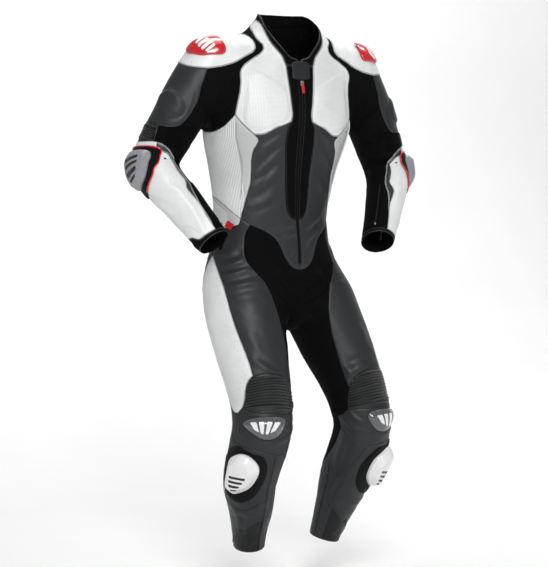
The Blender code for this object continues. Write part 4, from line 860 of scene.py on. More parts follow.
def chained(edges):
    """Edges put in order, as closed rings of points."""
    near = {}
    for a, b in edges:
        near.setdefault(a, []).append(b)
        near.setdefault(b, []).append(a)
    rings = []
    left = set(near)
    while left:
        ring = [min(left)]
        left.discard(ring[0])
        while True:
            after = [i for i in near[ring[-1]] if i in left]
            if not after:
                break
            ring.append(after[0])
            left.discard(after[0])
        rings.append(ring)
    return max(rings, key=len)


def dense(line, step, closed=True):
    """Points a step apart along a line."""
    line = np.vstack([line, line[:1]]) if closed else line
    along = np.concatenate([[0], np.cumsum(np.linalg.norm(np.diff(line, axis=0), axis=1))])
    at = np.linspace(0, along[-1], 2 + int(along[-1] // step))
    at = at[:-1] if closed else at
    return np.stack([np.interp(at, along, line[:, k]) for k in range(line.shape[1])], 1)


def tree_of(points):
    tree = KDTree(len(points))
    for i, point in enumerate(points):
        tree.insert(point, i)
    tree.balance()
    return tree


def distances(points, tree):
    return np.array([tree.find(point)[2] for point in points])


def ripple(p):
    """The slight unevenness of worn cloth, in mm."""
    x, y, z = (p / 1000).T
    return (0.30 * np.sin(61 * x + 43 * z + 2.1) * np.sin(57 * y - 39 * z + 0.4)
            + 0.22 * np.sin(97 * z + 31 * x + 1.3) * np.sin(83 * x - 71 * y + 0.9)
            + 0.14 * np.sin(171 * z - 121 * y + 2.7) * np.sin(143 * x + 66 * z))


# troughs on both sides of a crease: depth, place and reach, as shares of its height and width
TROUGHS = ((0.55, 1.7, 0.9), (0.2, -1.9, 1.1))


def crease_relief(points, up):
    """Height of soft folds: each a ridge beside a trough along a curved line."""
    total = np.zeros(len(points))
    for tall, wide, path, run in CREASE_PATHS:
        low, high = path.min(0) - 4 * wide, path.max(0) + 4 * wide
        near = np.nonzero(((points > low) & (points < high)).all(1))[0]
        if not len(near):
            continue
        gap = points[near][:, None] - path
        i = (gap**2).sum(2).argmin(1)
        off = gap[np.arange(len(near)), i]
        across = dot(off, np.cross(up[near], run[i])) / wide
        ahead = dot(off, run[i]) / wide
        out = dot(off, up[near]) / wide
        share = i / (len(path) - 1)
        fade = np.sin(np.pi * np.clip(share, 0, 1)) ** 0.7 * np.exp(-ahead**2 - 0.1 * out**2)
        profile = np.exp(-across**2)
        for depth, at, reach in TROUGHS:
            profile -= depth * np.exp(-((across - at) / reach) ** 2)
        total[near] += tall * fade * profile
    return total


def crease_paths():
    """The creases as points on the form, on the sides of the body where they are."""
    for chart, sides, tall, wide, rows in CREASES:
        rows = np.array(rows, float)
        rows = curve(np.arange(len(rows)), rows, np.linspace(0, len(rows) - 1, 12 * len(rows)))
        for side in (-1, 1) if sides == 0 else (sides,):
            path = on_form(chart, rows[:, 0], rows[:, 1], side) * [side, 1, 1]
            CREASE_PATHS.append((DEEPER * tall, wide, path, unit(np.gradient(path, axis=0))))


def flat_line(rows, chart, side, middle, closed=False):
    """A smooth line through chart places, in the flat of the panels of that chart."""
    rows = np.array(rows, float)
    n = len(rows)
    if closed:
        rows = rows[[-1, *range(n), 0, 1]]
        rows = curve(np.arange(-1, n + 2), rows, np.arange(0, n, 0.125))
    elif n > 2:
        rows = curve(np.arange(n), rows, np.linspace(0, n - 1, 12 * n))
    line = on_form(chart, rows[:, 0], rows[:, 1], side)
    return flatten(line, chart, side, chart in "AL", middle)


def flatten(ring, chart, side, slanted, middle):
    angle, place = chart_of(chart, ring, side, slanted)
    angle = np.degrees(np.unwrap(np.radians(angle)))
    angle += 360 * round((middle - angle.mean()) / 360)
    return np.stack([angle * SPREAD[chart], place], 1)


def new_piece(name, points, faces, material, slots=(), smooth=50):
    """A mesh object from points in metres."""
    mesh = bpy.data.meshes.new(name)
    mesh.from_pydata(points.tolist(), [], [list(face) for face in faces])
    for each in (material if isinstance(material, (list, tuple)) else [material]):
        mesh.materials.append(MATERIALS[each])
    if len(slots):
        mesh.polygons.foreach_set("material_index", np.asarray(slots, np.int32))
    mesh.shade_smooth()
    mesh.set_sharp_from_angle(angle=math.radians(smooth))
    made = bpy.data.objects.new(name, mesh)
    bpy.context.scene.collection.objects.link(made)
    return made


def put_reading(mesh, name, values, kind="FLOAT"):
    made = mesh.attributes.new(name, kind, "POINT")
    made.data.foreach_set("value" if kind == "FLOAT" else "vector",
                          np.asarray(values, np.float32).ravel())


def smallest_box(flat):
    """Sides of the smallest rectangle round flat points."""
    best = None
    for turn in np.radians(np.arange(0, 90, 3)):
        c, s = math.cos(turn), math.sin(turn)
        sides = np.ptp(flat @ np.array([[c, -s], [s, c]]), axis=0)
        if best is None or sides.prod() < best.prod():
            best = sides
    return best


def strip_sides(ring, area):
    """Width and length of the straight strip with a ring's length round it and its area."""
    half = np.linalg.norm(np.roll(ring, -1, 0) - ring, axis=1).sum() / 4
    spare = math.sqrt(max(half**2 - area, 0))
    return np.array([half - spare, half + spare])


def pierced(base, flat, edge):
    """Where the leather of a panel is punched."""
    across, along = flat.T
    clear = ramp(edge, 6.5, 8.5)
    if base == "chest":
        return clear * (along < 10)
    if base == "flank":
        return ramp(edge, 5, 7) * (across < 63.0 * SPREAD["B"])
    if base == "forearm":
        return clear * (across > 78 * SPREAD["A"]) * (along < 520)
    if base == "thigh_outer":
        return ramp(edge, 9, 10) * (edge < 26)
    if base == "shoulder_cup":
        return ramp(edge, 7, 8) * (edge < 16) * (along > 140)
    return 0 * edge


PANEL_FACTS = {}


def layers_of(points, faces, height, chart):
    """Which of a panel's triangles are its outer face, its edge and its inner face."""
    count = (height > SKIN)[faces].sum(1)
    kind = np.where(count == 3, OUTER, np.where(count == 0, INNER, RIM))
    a, b, c = (points[faces[:, k]] for k in range(3))
    turn = unit(np.cross(b - a, c - a))
    facing = (turn * in_parts(normals, (a + b + c) / 3, chart)).sum(1)
    kind[facing > FACING] = OUTER
    kind[facing < -FACING] = INNER
    return kind


def set_on_form(q, rise, edge, base, chart):
    """Points of a panel's outer face, set on the form with dips, ripples and creases."""
    relief = rise - SEAM_DIP * np.exp(-(edge / SEAM_WIDE) ** 2)
    relief += ramp(edge, *RIPPLE_IN) * ripple(q) * (0.5 if base == "main_zip" else 1.0)
    up = in_parts(normals, q, chart)
    relief += (0.25 + 0.75 * ramp(edge, 0, CREASE_IN)) * crease_relief(q, up)
    for _ in range(2):
        gap = relief - in_parts(distance, q, chart)
        q = q + (gap * (1 - ramp(np.abs(gap), *CLOSED)))[:, None] * up
    return q


def set_lining(points, faces, kind, chart):
    """A panel's inner face, set at its depth under the form."""
    within = np.zeros(len(points), bool)
    within[faces[kind == INNER].ravel()] = True
    within[faces[kind == RIM].ravel()] = False
    under = points[within]
    gap = -LINED - in_parts(distance, under, chart)
    gap *= 1 - ramp(np.abs(gap), *CLOSED_INSIDE)
    points[within] = under + gap[:, None] * in_parts(normals, under, chart)


def rib_shading_of(base, rise, level):
    """For painted shade and highlight: 0 in the valleys between a panel's ribs to 1 on them, and
    up to 2 on the armpit ribs, whose crests are painted lighter.
    """
    if base not in RIBBED:
        return 1
    crest = np.clip((rise - level) / RIBBED[base], 0, 1)
    if base == "sleeve_front":
        crest = np.where(rise < level + 0.02, 1, 0.4 + 1.6 * crest)
    return crest


def zone_of(base, flat, side):
    """Signed distance into the part of a panel that has the second colour."""
    if base not in ZONES:
        return np.full(len(flat), -FAR_IN)
    chart, middle, _, _ = PANELS[base]
    outline = on_form(chart, *np.array(ZONES[base], float).T, side)
    loop = dense(flatten(outline, chart, side, chart in "AL", middle), 3.0)
    return reach_to(flat, loop) * (2.0 * inside(flat, loop) - 1)


def cut_of(loop, ring, area):
    """Width and length of the flat cut of a panel."""
    flat_area = abs((loop[:, 0] * np.roll(loop[:, 1], -1)
                     - np.roll(loop[:, 0], -1) * loop[:, 1]).sum()) / 2
    sides = smallest_box(loop) * math.sqrt(area / flat_area)
    return strip_sides(ring, area) if area < NARROW * sides.prod() else sides


def dress(node):
    """A panel's cloth: its solid's form with soft seams, creases and an uneven face."""
    base, side = base_of(node), side_of(node)
    chart, middle, cloth, _ = PANELS[base]
    points, faces = node_mesh(node, chart)
    height = distance(points, chart)
    level = float(np.median(height[height > SKIN]))
    angle, place = chart_of(chart, points * [side, 1, 1], side, chart in "AL")
    across = unwrapped(angle, faces, middle) * SPREAD[chart]
    points, readings, faces, kind, ring = refined(
        points, faces, layers_of(points, faces, height, chart),
        np.stack([height, across, place], 1), FINE * FINER.get(base, FULL) / FULL)
    outer = np.zeros(len(points), bool)
    outer[faces[kind == OUTER].ravel()] = True
    rise, flat = readings[outer, 0], readings[:, 1:]
    edge = np.zeros(len(points))
    edge[outer] = distances(points[outer], tree_of(dense(points[ring], 1.0)))
    if base in PLAIN:
        rise = 0 * rise + level
    points[outer] = set_on_form(points[outer], rise, edge[outer], base, chart)
    set_lining(points, faces, kind, chart)
    final = stance(points, chart)
    piece = new_piece(f"{node}_cloth", final, faces, [cloth, "lining"],
                      np.where(kind == INNER, 1, 0))
    # rib reading for the colour: painted shade in rib valleys, painted highlight on the armpit
    # ribs' crests
    crest = np.ones(len(points))
    crest[outer] = rib_shading_of(base, rise, level)
    put_reading(piece.data, "flat", np.column_stack([flat, 0 * edge]), "FLOAT_VECTOR")
    put_reading(piece.data, "edge", edge)
    put_reading(piece.data, "pierced", pierced(base, flat, edge))
    put_reading(piece.data, "crest", crest)
    put_reading(piece.data, "zone", zone_of(base, flat, side))
    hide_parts(node)
    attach(piece, "suit")
    outer_faces = faces[kind == OUTER]
    a, b, c = (final[outer_faces[:, k]] for k in range(3))
    area = np.linalg.norm(np.cross(b - a, c - a), axis=1).sum() / 2
    PANEL_FACTS[node] = {"piece": piece, "ring": final[ring], "faces": outer_faces,
                         "points": final, "size": cut_of(flat[ring], final[ring], area),
                         "area": area}


SEWN_REACH = 0.004         # in metres, gap under which two panels' edges are sewn together


def declare_sheets():
    """Looks for the panels that each panel is sewn to, leaving out the shoulder cups; nothing is
    kept.
    """
    trees = {node: tree_of(facts["ring"]) for node, facts in PANEL_FACTS.items()}
    for node, facts in PANEL_FACTS.items():
        if base_of(node) == "shoulder_cup":
            continue
        probe = facts["ring"][::6]
        sewn = [other for other, tree in trees.items() if other != node
                and sum(tree.find(p)[2] < SEWN_REACH for p in probe) > 2]


# ---------------------------------------------------------------- stitches and piping

EDGE_STEP = 0.0015         # in metres, step of the points along an edge
PROBE = 0.004              # how far to its two sides the panel is looked for


def ring_frame(facts):
    """A panel's edge as even points, with the ways into the panel and out of it."""
    line = dense(facts["ring"], EDGE_STEP)
    surface = BVHTree.FromPolygons(facts["points"].tolist(), facts["faces"].tolist())
    normal = np.array([surface.find_nearest(point)[1] for point in line])
    ahead = unit(np.roll(line, -2, 0) - np.roll(line, 2, 0))
    into = unit(np.cross(normal, ahead))
    test = sum((surface.find_nearest(line[i] + PROBE * into[i])[3]
                - surface.find_nearest(line[i] - PROBE * into[i])[3])
               for i in range(0, len(line), 9))
    if test > 0:
        into = -into
    return line, into, surface


def swept(stations, normal, across, wide, tall, sides=4, closed=False):
    """A tube through stations, with a cross-section of its own width and height."""
    turn = np.arange(sides) * 2 * math.pi / sides + math.pi / sides
    rings = (stations[:, None] + wide * np.cos(turn)[None, :, None] * across[:, None]
             + tall * np.sin(turn)[None, :, None] * normal[:, None])
    n = len(stations)
    faces = []
    for i in range(n if closed else n - 1):
        for k in range(sides):
            j, m = (i + 1) % n, (k + 1) % sides
            faces.append([i * sides + k, i * sides + m, j * sides + m, j * sides + k])
    if not closed:
        faces += [list(range(sides))[::-1], list(range((n - 1) * sides, n * sides))]
    return rings.reshape(-1, 3), faces


class Bundle:
    """Many small shapes gathered into one piece."""

    def __init__(self):
        self.points, self.faces, self.count = [], [], 0

    def add(self, points, faces):
        self.points.append(points)
        self.faces += [[i + self.count for i in face] for face in faces]
        self.count += len(points)

    def piece(self, name, material, slot=None, body="suit", smooth=50):
        made = new_piece(name, np.vstack(self.points), self.faces, material, smooth=smooth)
        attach(made, body)
        return made


STITCH, STITCH_GAP, THREAD = 0.0030, 0.0012, 0.00036


def stitched(bundle, line, into, surface, depth, ring_tree):
    """A row of stitches at a depth inside a panel's edge."""
    step = np.linalg.norm(line[1] - line[0])
    pitch = max(2, round((STITCH + STITCH_GAP) / step))
    for i in range(0, len(line) - 1, pitch):
        places, ups = [], []
        for k in (-0.5, 0.0, 0.5):
            spot = line[i] + (line[(i + 1) % len(line)] - line[i - 1]) * k * STITCH / (2 * step)
            spot = Vector(spot + depth * into[i])
            near, up, _, _ = surface.find_nearest(spot)
            if ring_tree.find(near)[2] < 0.8 * depth:
                break
            places.append(near)
            ups.append(up)
        if len(places) == 3:
            rise = np.array([-0.5, 0.9, -0.5]) * THREAD
            stations = np.array(places) + rise[:, None] * np.array(ups)
            run = unit(stations[2:] - stations[:1])
            across = np.cross(np.array(ups), run)
            bundle.add(*swept(stations, np.array(ups), across, THREAD, THREAD))


def piping(bundle, line, into, surface, depth, wide, tall, step=2):
    """A rounded edge along a panel's whole seam."""
    spots = [surface.find_nearest(Vector(p + depth * q))
             for p, q in zip(line[::step], into[::step])]
    places = np.array([spot[0] for spot in spots])
    ups = np.array([spot[1] for spot in spots])
    run = unit(np.roll(places, -1, 0) - np.roll(places, 1, 0))
    bundle.add(*swept(places + 0.15 * tall * ups, ups, np.cross(ups, run), wide, tall, 6, True))


# ---------------------------------------------------------------- sliders, plates and pads

# chart, lift, height of its rounded edge, height of its crown, radius of the edge, run up
# to the crown, outline in the chart
LYING = {
    "shoulder_slider": ("A", 2.0, 4.0, 8.0, 2.2, 16,
                        ((-3, 160), (-4, 142), (3, 126), (20, 117), (45, 116), (60, 121),
                         (63, 131), (51, 150), (38, 162), (17, 168), (4, 167))),
    "elbow_pad": ("A", 1.0, 2.2, 3.6, 1.6, 8,
                  ((-30, 398), (17, 395), (54, 390), (66, 391), (73, 402), (72, 436),
                   (58, 452), (43, 466), (8, 480), (-20, 488), (-38, 468), (-42, 420))),
    "elbow_slider": ("A", 4.6, 7.5, 17.4, 2.4, 15,
                     ((-24, 410), (16, 403), (42, 403), (52, 411), (52, 424), (42, 444),
                      (28, 459), (-8, 467), (-25, 461), (-31, 438))),
    "knee_plate": ("L", 1.8, 4.2, 10.6, 2.0, 12,
                   ((26, 549), (37, 539), (67, 536), (100, 537), (109, 546), (99, 562),
                    (87, 571), (68, 573), (48, 565))),
    "slider_pad": ("L", 1.0, 2.0, 2.9, 1.4, 7,
                   ((-12, 655), (-4, 614), (18, 595), (51, 602), (74, 606), (88, 632),
                    (90, 668), (78, 712), (51, 735), (21, 732), (-8, 708))),
    "knee_slider": ("L", 3.4, 10.0, 24.0, 3.0, 18,
                    ((18, 700), (14, 658), (15, 626), (27, 610), (40, 606), (54, 610),
                     (69, 624), (73, 645), (65, 682), (42, 708), (28, 708))),
}
NECK_TAB = ("B", 0.9, 1.6, 2.2, 1.0, 5,
            ((-11, -54), (-12, -76), (-11, -95), (0, -97), (11, -95), (13, -76), (12, -54)))
MIDDLE_OF = {"B": 0, "A": 60, "L": 80}     # angle that is unwrapped round, by chart
SPACING, UNDER_SPACING = 3.4, 9            # longest edges of their upper and under faces
RING_STEP = 2.4                            # step of the points round their outlines
ROUND = (0.08, 0.3, 0.62, 1.0)             # lines round the edge, as shares of its radius
SUNK_UNDER = 0.4                           # how far their undersides sink in
CUP_DOME, CUP_SLOPE = 10, 34               # height of the shoulder cup's padding, and its run
CUP_FLAT = {}                              # the cups' outlines in the flat, by side

# sunk slots: their depth in mm, the look at their bottom, and their corners as shares of
# the way from the piece's middle to its sides
SLOTS = {
    "shoulder_slider": (1.6, "white_plastic", (
        ((-0.66, -0.10), (-0.46, 0.46), (-0.28, 0.50), (-0.44, -0.34)),
        ((-0.35, -0.40), (-0.17, 0.52), (0.04, 0.54), (-0.06, -0.52)),
        ((0.03, -0.54), (0.15, 0.54), (0.35, 0.50), (0.30, -0.52)),
        ((0.39, -0.50), (0.45, 0.44), (0.60, 0.30), (0.60, -0.40)))),
    "elbow_slider": (2.2, "black_plastic", (
        ((-0.46, -0.52), (0.44, -0.60), (0.42, -0.44), (-0.44, -0.36)),
        ((-0.50, -0.22), (0.40, -0.30), (0.36, -0.12), (-0.46, -0.04)),
        ((-0.50, 0.10), (0.30, 0.02), (0.24, 0.20), (-0.44, 0.28)),
        ((-0.44, 0.42), (0.14, 0.34), (0.06, 0.50), (-0.36, 0.56)))),
    "knee_plate": (1.6, "white_plastic", (
        ((-0.62, -0.50), (-0.36, -0.52), (-0.20, 0.34), (-0.40, 0.14)),
        ((-0.27, -0.54), (-0.04, -0.56), (-0.03, 0.50), (-0.13, 0.44)),
        ((0.06, -0.56), (0.29, -0.54), (0.15, 0.44), (0.05, 0.50)),
        ((0.38, -0.52), (0.64, -0.50), (0.42, 0.14), (0.22, 0.34)))),
    "knee_slider": (2.6, "black_plastic", (
        ((-0.44, -0.02), (0.36, -0.18), (0.36, -0.06), (-0.42, 0.10)),
        ((-0.42, 0.20), (0.30, 0.06), (0.28, 0.18), (-0.38, 0.32)),
        ((-0.36, 0.42), (0.22, 0.30), (0.18, 0.42), (-0.30, 0.53)),
        ((-0.24, 0.62), (0.12, 0.53), (0.06, 0.64), (-0.16, 0.71)))),
}
SLOT_CLIP, SLOT_STEP = 1.3, 2.2            # how much of a corner is clipped; step of points
SLOT_MARGIN, SLOT_SLOPE = 1.6, 0.7         # clear of the round edge; width of a slot's side
LOOK_OF = {"shoulder_slider": "red_plastic", "elbow_pad": "hook_pad",
           "elbow_slider": "grey_plastic", "knee_plate": "smoke_plastic",
           "slider_pad": "hook_pad", "knee_slider": "white_plastic",
           "neck_tab": "dark_leather"}


def loops_in(loop, depths):
    """Copies of a closed flat loop, moved in by each depth."""
    run = unit(np.roll(loop, -1, 0) - np.roll(loop, 1, 0))
    into = np.stack([-run[:, 1], run[:, 0]], 1)
    area = (loop[:, 0] * np.roll(loop[:, 1], -1) - np.roll(loop[:, 0], -1) * loop[:, 1]).sum()
    into *= 1 if area > 0 else -1
    return [loop + depth * into for depth in depths]


def filled(ring, loops, points):
    """Triangles inside a ring, through closed loops and loose points."""
    flat = [ring, *loops, points]
    starts = np.cumsum([0] + [len(part) for part in flat])
    edges = [(int(start) + i, int(start) + (i + 1) % len(part))
             for start, part in zip(starts, flat[:-1]) for i in range(len(part))]
    flat = np.vstack(flat)
    shift = flat.mean(0)
    corners = [Vector(map(float, point - shift)) for point in flat]
    found, _, faces, origin, _, _ = delaunay_2d_cdt(corners, edges, [], 1, 1e-4)
    if any(not made for made in origin) or len(found) != len(flat):
        raise ValueError("loops cross or touch")
    return flat, [[origin[i][0] for i in face] for face in faces]


def rounded(depth, edge, crown, radius, run):
    """Height of a piece: a round edge, then a slope up to its crown."""
    t = np.clip(depth / radius, 0, 1)
    return edge * np.sqrt(1 - (1 - t) ** 2) + (crown - edge) * ramp(depth, 0.4 * radius, run)


def slot_loops(ring, shapes, margin):
    """Slots as flat loops with clipped corners, a margin inside the piece."""
    middle = (ring.min(0) + ring.max(0)) / 2
    half = (ring.max(0) - ring.min(0)) / 2
    made = []
    for shape in shapes:
        corners = middle + np.array(shape) * half
        soft = []
        for i, here in enumerate(corners):
            for other in (corners[i - 1], corners[(i + 1) % len(corners)]):
                way = other - here
                soft.append(here + way / np.linalg.norm(way) * SLOT_CLIP)
        made.append(dense(np.array(soft), SLOT_STEP))
    while made and min((reach_to(loop, ring) * inside(loop, ring)).min()
                       for loop in made) < margin:
        made = [middle + (loop - middle) * 0.97 for loop in made]
    return made


def upper_face(name, ring, facts):
    """A piece's upper face in the flat, its height, and which triangles are in a slot."""
    _, _, edge, crown, radius, run, _ = facts
    rims = loops_in(ring, [radius * share for share in ROUND])
    depth, _, shapes = SLOTS.get(name, (0, None, ()))
    slots = slot_loops(ring, shapes, radius + SLOT_MARGIN)
    floors = [loops_in(loop, [SLOT_SLOPE])[0] for loop in slots]
    grid = spread_points(rims[-1], SPACING)
    for loop in slots:
        keep = reach_to(grid, loop) > 0.45 * SPACING
        grid = grid[keep & ~inside(grid, loop)]
    flat, faces = filled(ring, [*rims, *slots, *floors], grid)
    depth_in = reach_to(flat, ring) * (inside(flat, ring) | (reach_to(flat, ring) < 0.01))
    depth_in[:len(ring)] = 0
    up = rounded(depth_in, edge, crown, radius, run)
    start = len(ring) + sum(map(len, rims)) + sum(map(len, slots))
    up[start:start + sum(map(len, floors))] -= depth
    middles = np.array([flat[face].mean(0) for face in faces])
    sunk = np.zeros(len(faces), int)
    for loop in slots:
        sunk[inside(middles, loop)] = 1
    return flat, faces, up, sunk


def lying(name, label, side, facts, base=None):
    """A slider, plate or pad: rounded edge, crowned face and sunk slots."""
    chart, lift, *_, rows = facts
    ring = dense(flat_line(rows, chart, side, MIDDLE_OF[chart], closed=True), RING_STEP)

    def raised(flat, up):
        on = on_form(chart, flat[:, 0] / SPREAD[chart], flat[:, 1], side, chart in "AL")
        low = lift + (base(flat, side) if base else 0)
        return on + (low + up)[:, None] * normals(on)

    flat, faces, up, sunk = upper_face(name, ring, facts)
    under_flat, under = filled(ring, [], spread_points(ring, UNDER_SPACING))
    foot = raised(under_flat, np.full(len(under_flat), -SUNK_UNDER))
    points = np.vstack([raised(flat, up), foot])
    n, shift = len(ring), len(flat)
    faces = [list(face) for face in faces]
    faces += [[i + shift for i in face[::-1]] for face in under]
    faces += [[(i + 1) % n, i, i + shift, (i + 1) % n + shift] for i in range(n)]
    look, floor_look = LOOK_OF[name], SLOTS.get(name, (0, None, ()))[1]
    made = new_piece(f"{name}{label}_piece", stance(points * [side, 1, 1]), faces,
                     [look, floor_look] if floor_look else look,
                     np.concatenate([sunk, np.zeros(len(faces) - len(sunk), int)]), smooth=38)
    put_reading(made.data, "flat", np.column_stack([np.vstack([flat, under_flat]),
                                                    np.zeros(len(points))]), "FLOAT_VECTOR")
    put_reading(made.data, "edge", np.full(len(points), FAR_IN))
    turn_out(made)
    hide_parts(f"{name}{label}")
    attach(made, "suit")


def turn_out(made):
    """Faces turned to look out of a closed mesh."""
    shape = bmesh.new()
    shape.from_mesh(made.data)
    bmesh.ops.recalc_face_normals(shape, faces=shape.faces)
    if shape.calc_volume(signed=True) < 0:
        bmesh.ops.reverse_faces(shape, faces=shape.faces)
    shape.to_mesh(made.data)
    shape.free()


def cup_rise(flat, side):
    """Height of the shoulder cup's padding under a slider."""
    return CUP_DOME * ramp(reach_to(flat, CUP_FLAT[side]) * inside(flat, CUP_FLAT[side]),
                           0, CUP_SLOPE)


def all_lying():
    for label, side in (("_left", 1), ("_right", -1)):
        ring = unstance(PANEL_FACTS["shoulder_cup" + label]["ring"]) * [side, 1, 1]
        CUP_FLAT[side] = flatten(ring, "A", side, True, MIDDLE_OF["A"])
        for name, facts in LYING.items():
            lying(name, label, side, facts, cup_rise if name == "shoulder_slider" else None)
    lying("neck_tab", "", 1, NECK_TAB)


RED_EDGE = {"wide": 2.0, "tall": 2.2, "lift": 3.2, "from": (-34, 402), "to": (4.2, 482)}


def red_edges():
    """The glossy red edge along the front and top of each elbow pad."""
    for label, side in (("_left", 1), ("_right", -1)):
        loop = flat_line(LYING["elbow_pad"][-1], "A", side, MIDDLE_OF["A"], closed=True)
        start, end = (int(np.argmin(np.hypot(*(loop - RED_EDGE[key]).T)))
                      for key in ("from", "to"))
        order = np.arange(start, start + (end - start) % len(loop) + 1) % len(loop)
        line = dense(loop[order], 2.0, closed=False)
        on = on_form("A", line[:, 0] / SPREAD["A"], line[:, 1], side, True)
        normal = normals(on)
        across = np.cross(normal, unit(np.gradient(on, axis=0)))
        ends = np.minimum(np.arange(len(on)), np.arange(len(on))[::-1])
        taper = np.minimum(1, ends / 5 + 0.25)[:, None, None]
        flip = np.array([side, 1, 1])
        rings, faces = swept((on + RED_EDGE["lift"] * normal) * flip, normal * flip, across * flip,
                             RED_EDGE["wide"] * taper, RED_EDGE["tall"] * taper, 8)
        bundle = Bundle()
        bundle.add(stance(rings), faces)
        turn_out(bundle.piece(f"elbow_edge{label}", "red_plastic", "red_plastic"))


# welted and stitched lines on the panels: chart, side (0 for both), half width, height, look,
# places along the line
WELTS = (
    ("L", 0, 1.3, 1.0, "dark_edge", ((-8, 874), (8, 856), (30, 832), (44, 820), (54, 830),
                                     (81, 811), (110, 792))),
    ("L", 0, 1.2, 0.9, "dark_edge", ((98, 606), (107, 665), (112, 730), (113, 790), (115, 883))),
    ("L", 0, 1.2, 0.9, "dark_edge", ((176, 690), (158, 740), (152, 837), (149, 883))),
    ("L", 0, 1.9, 1.3, "zip_teeth", ((234, 690), (237, 760), (240, 882))),
    ("L", 0, 1.0, 0.7, "dark_edge", ((-18, 640), (-22, 690), (-10, 736), (24, 758), (66, 757),
                                     (96, 736))),
    ("B", 0, 0.9, 0.7, "white_edge", ((63, -206), (63, -253), (62, -306), (65, -360),
                                      (67, -398))),
    ("A", 0, 1.0, 0.8, "white_edge", ((60, 394), (88, 398), (108, 425), (117, 465), (123, 510),
                                      (106, 535), (110, 579), (107, 612), (102, 640))),
    ("A", 0, 1.7, 1.3, "zip_teeth", ((150, 520), (148, 580), (146, 640))),
    ("A", 0, 2.6, 2.2, "steel", ((146, 644), (146, 652))),
    ("A", 0, 0.6, 0.5, "white_thread", ((-24, 596), (4, 606), (26, 604), (44, 618), (52, 640))),
    ("B", 1, 0.8, 2.5, "red_thread", ((10.2, -66), (10.4, -69.5))),
    ("B", 1, 0.8, 2.5, "red_thread", ((9.6, -88), (9.2, -91))),
)


LINE_SLOTS = {"dark_edge": "dark_leather", "white_edge": "white_leather",
              "zip_teeth": "zip_black", "steel": "steel", "white_thread": "white_leather",
              "red_thread": "red_plastic"}
LINE_LIFT = 1.2            # how far these lines stand off the form


def welts():
    """Raised seam lines, zips and rows of thread that run across the panels."""
    bundles = {}
    for chart, sides, wide, tall, look, rows in WELTS:
        rows = np.array(rows, float)
        n = len(rows)
        rows = curve(np.arange(n), rows, np.linspace(0, n - 1, 14 * n))
        line = dense(rows * [SPREAD[chart], 1], 2.6, closed=False) / [SPREAD[chart], 1]
        for side in (-1, 1) if sides == 0 else (sides,):
            on = on_form(chart, line[:, 0], line[:, 1], side)
            up = normals(on)
            across = np.cross(up, unit(np.gradient(on, axis=0)))
            ends = np.minimum(np.arange(len(on)), np.arange(len(on))[::-1])
            thin = np.minimum(1, 0.3 + ends / 3)[:, None, None]
            flip = np.array([side, 1, 1])
            rings, faces = swept((on + LINE_LIFT * up) * flip, up * flip, across * flip,
                                 wide * thin, tall * thin, 6)
            bundles.setdefault(look, Bundle()).add(stance(rings, chart), faces)
    for look, bundle in bundles.items():
        turn_out(bundle.piece(f"lines_{look}", look, LINE_SLOTS[look]))


# in metres: reach within which a seam has another panel beside it, how far in the middle of
# the tape is there and at an open edge, its depth, the step between neighbours' depths, and
# half its width and thickness
TAPE = {"sewn": 0.003, "in": 0.0002, "in_open": 0.0011, "deep": 0.0022, "step": 0.00012,
        "wide": 0.0026, "thick": 0.00016}


def seam_tapes():
    """Tape inside every seam, so that no light comes through."""
    loops = [facts["ring"] for facts in PANEL_FACTS.values()]
    tree = tree_of(np.vstack(loops))
    owner = np.repeat(np.arange(len(loops)), [len(loop) for loop in loops])
    bundle = Bundle()
    for k, facts in enumerate(PANEL_FACTS.values()):
        line, into, surface = ring_frame(facts)
        line, into = line[::4], into[::4]
        up = np.array([surface.find_nearest(point)[1] for point in line])
        sewn = [any(owner[i] != k for _, i, _ in tree.find_range(point, TAPE["sewn"]))
                for point in line]
        places = line + np.where(sewn, TAPE["in"], TAPE["in_open"])[:, None] * into
        places -= (TAPE["deep"] + TAPE["step"] * (k % 3)) * up
        bundle.add(*swept(places, up, into, TAPE["wide"], TAPE["thick"], 4, closed=True))
    bundle.piece("seam_tape", "lining", "black_stretch")


TAG_CORNERS = ((85, -463), (81.5, -448), (74.5, -458), (78, -473))
TAG_BEND = (2.0, 2.4, 0.5)                 # lift at the seam, rise to the loose end, arch
TAG_THICK = 0.9
TAG_ROWS, TAG_COLUMNS = 7, 5


def tag():
    """The woven tag in the seam at the hip, bent off the panel towards its loose end."""
    on = on_form("B", *np.array(TAG_CORNERS, float).T)
    up = normals(on)
    low, high = [], []
    for s in np.linspace(0, 1, TAG_ROWS):
        for t in np.linspace(0, 1, TAG_COLUMNS):
            shares = np.array([(1 - s) * (1 - t), s * (1 - t), s * t, (1 - s) * t])
            spot, rise = shares @ on, shares @ up
            bend = TAG_BEND[0] + TAG_BEND[1] * t + TAG_BEND[2] * math.sin(math.pi * s)
            low.append(spot + bend * rise)
            high.append(spot + (bend + TAG_THICK) * rise)
    points = np.array(low + high) * [-1, 1, 1]
    shift, faces = len(low), []
    for i in range(TAG_ROWS - 1):
        for k in range(TAG_COLUMNS - 1):
            a = i * TAG_COLUMNS + k
            b, c, d = a + 1, a + TAG_COLUMNS + 1, a + TAG_COLUMNS
            faces += [[a, d, c, b], [a + shift, b + shift, c + shift, d + shift]]
    grid = np.arange(shift).reshape(TAG_ROWS, TAG_COLUMNS)
    rim = [*grid[0], *grid[1:, -1], *grid[-1, -2::-1], *grid[-2:0:-1, 0]]
    rim = [int(i) for i in rim]
    faces += [[a, b, b + shift, a + shift] for a, b in zip(rim, rim[1:] + rim[:1])]
    made = new_piece("hip_tag", stance(points), faces, "red_cloth")
    put_reading(made.data, "flat", points, "FLOAT_VECTOR")
    put_reading(made.data, "edge", np.full(len(points), FAR_IN))
    turn_out(made)
    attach(made, "suit")


# ---------------------------------------------------------------- zip, pull and slider

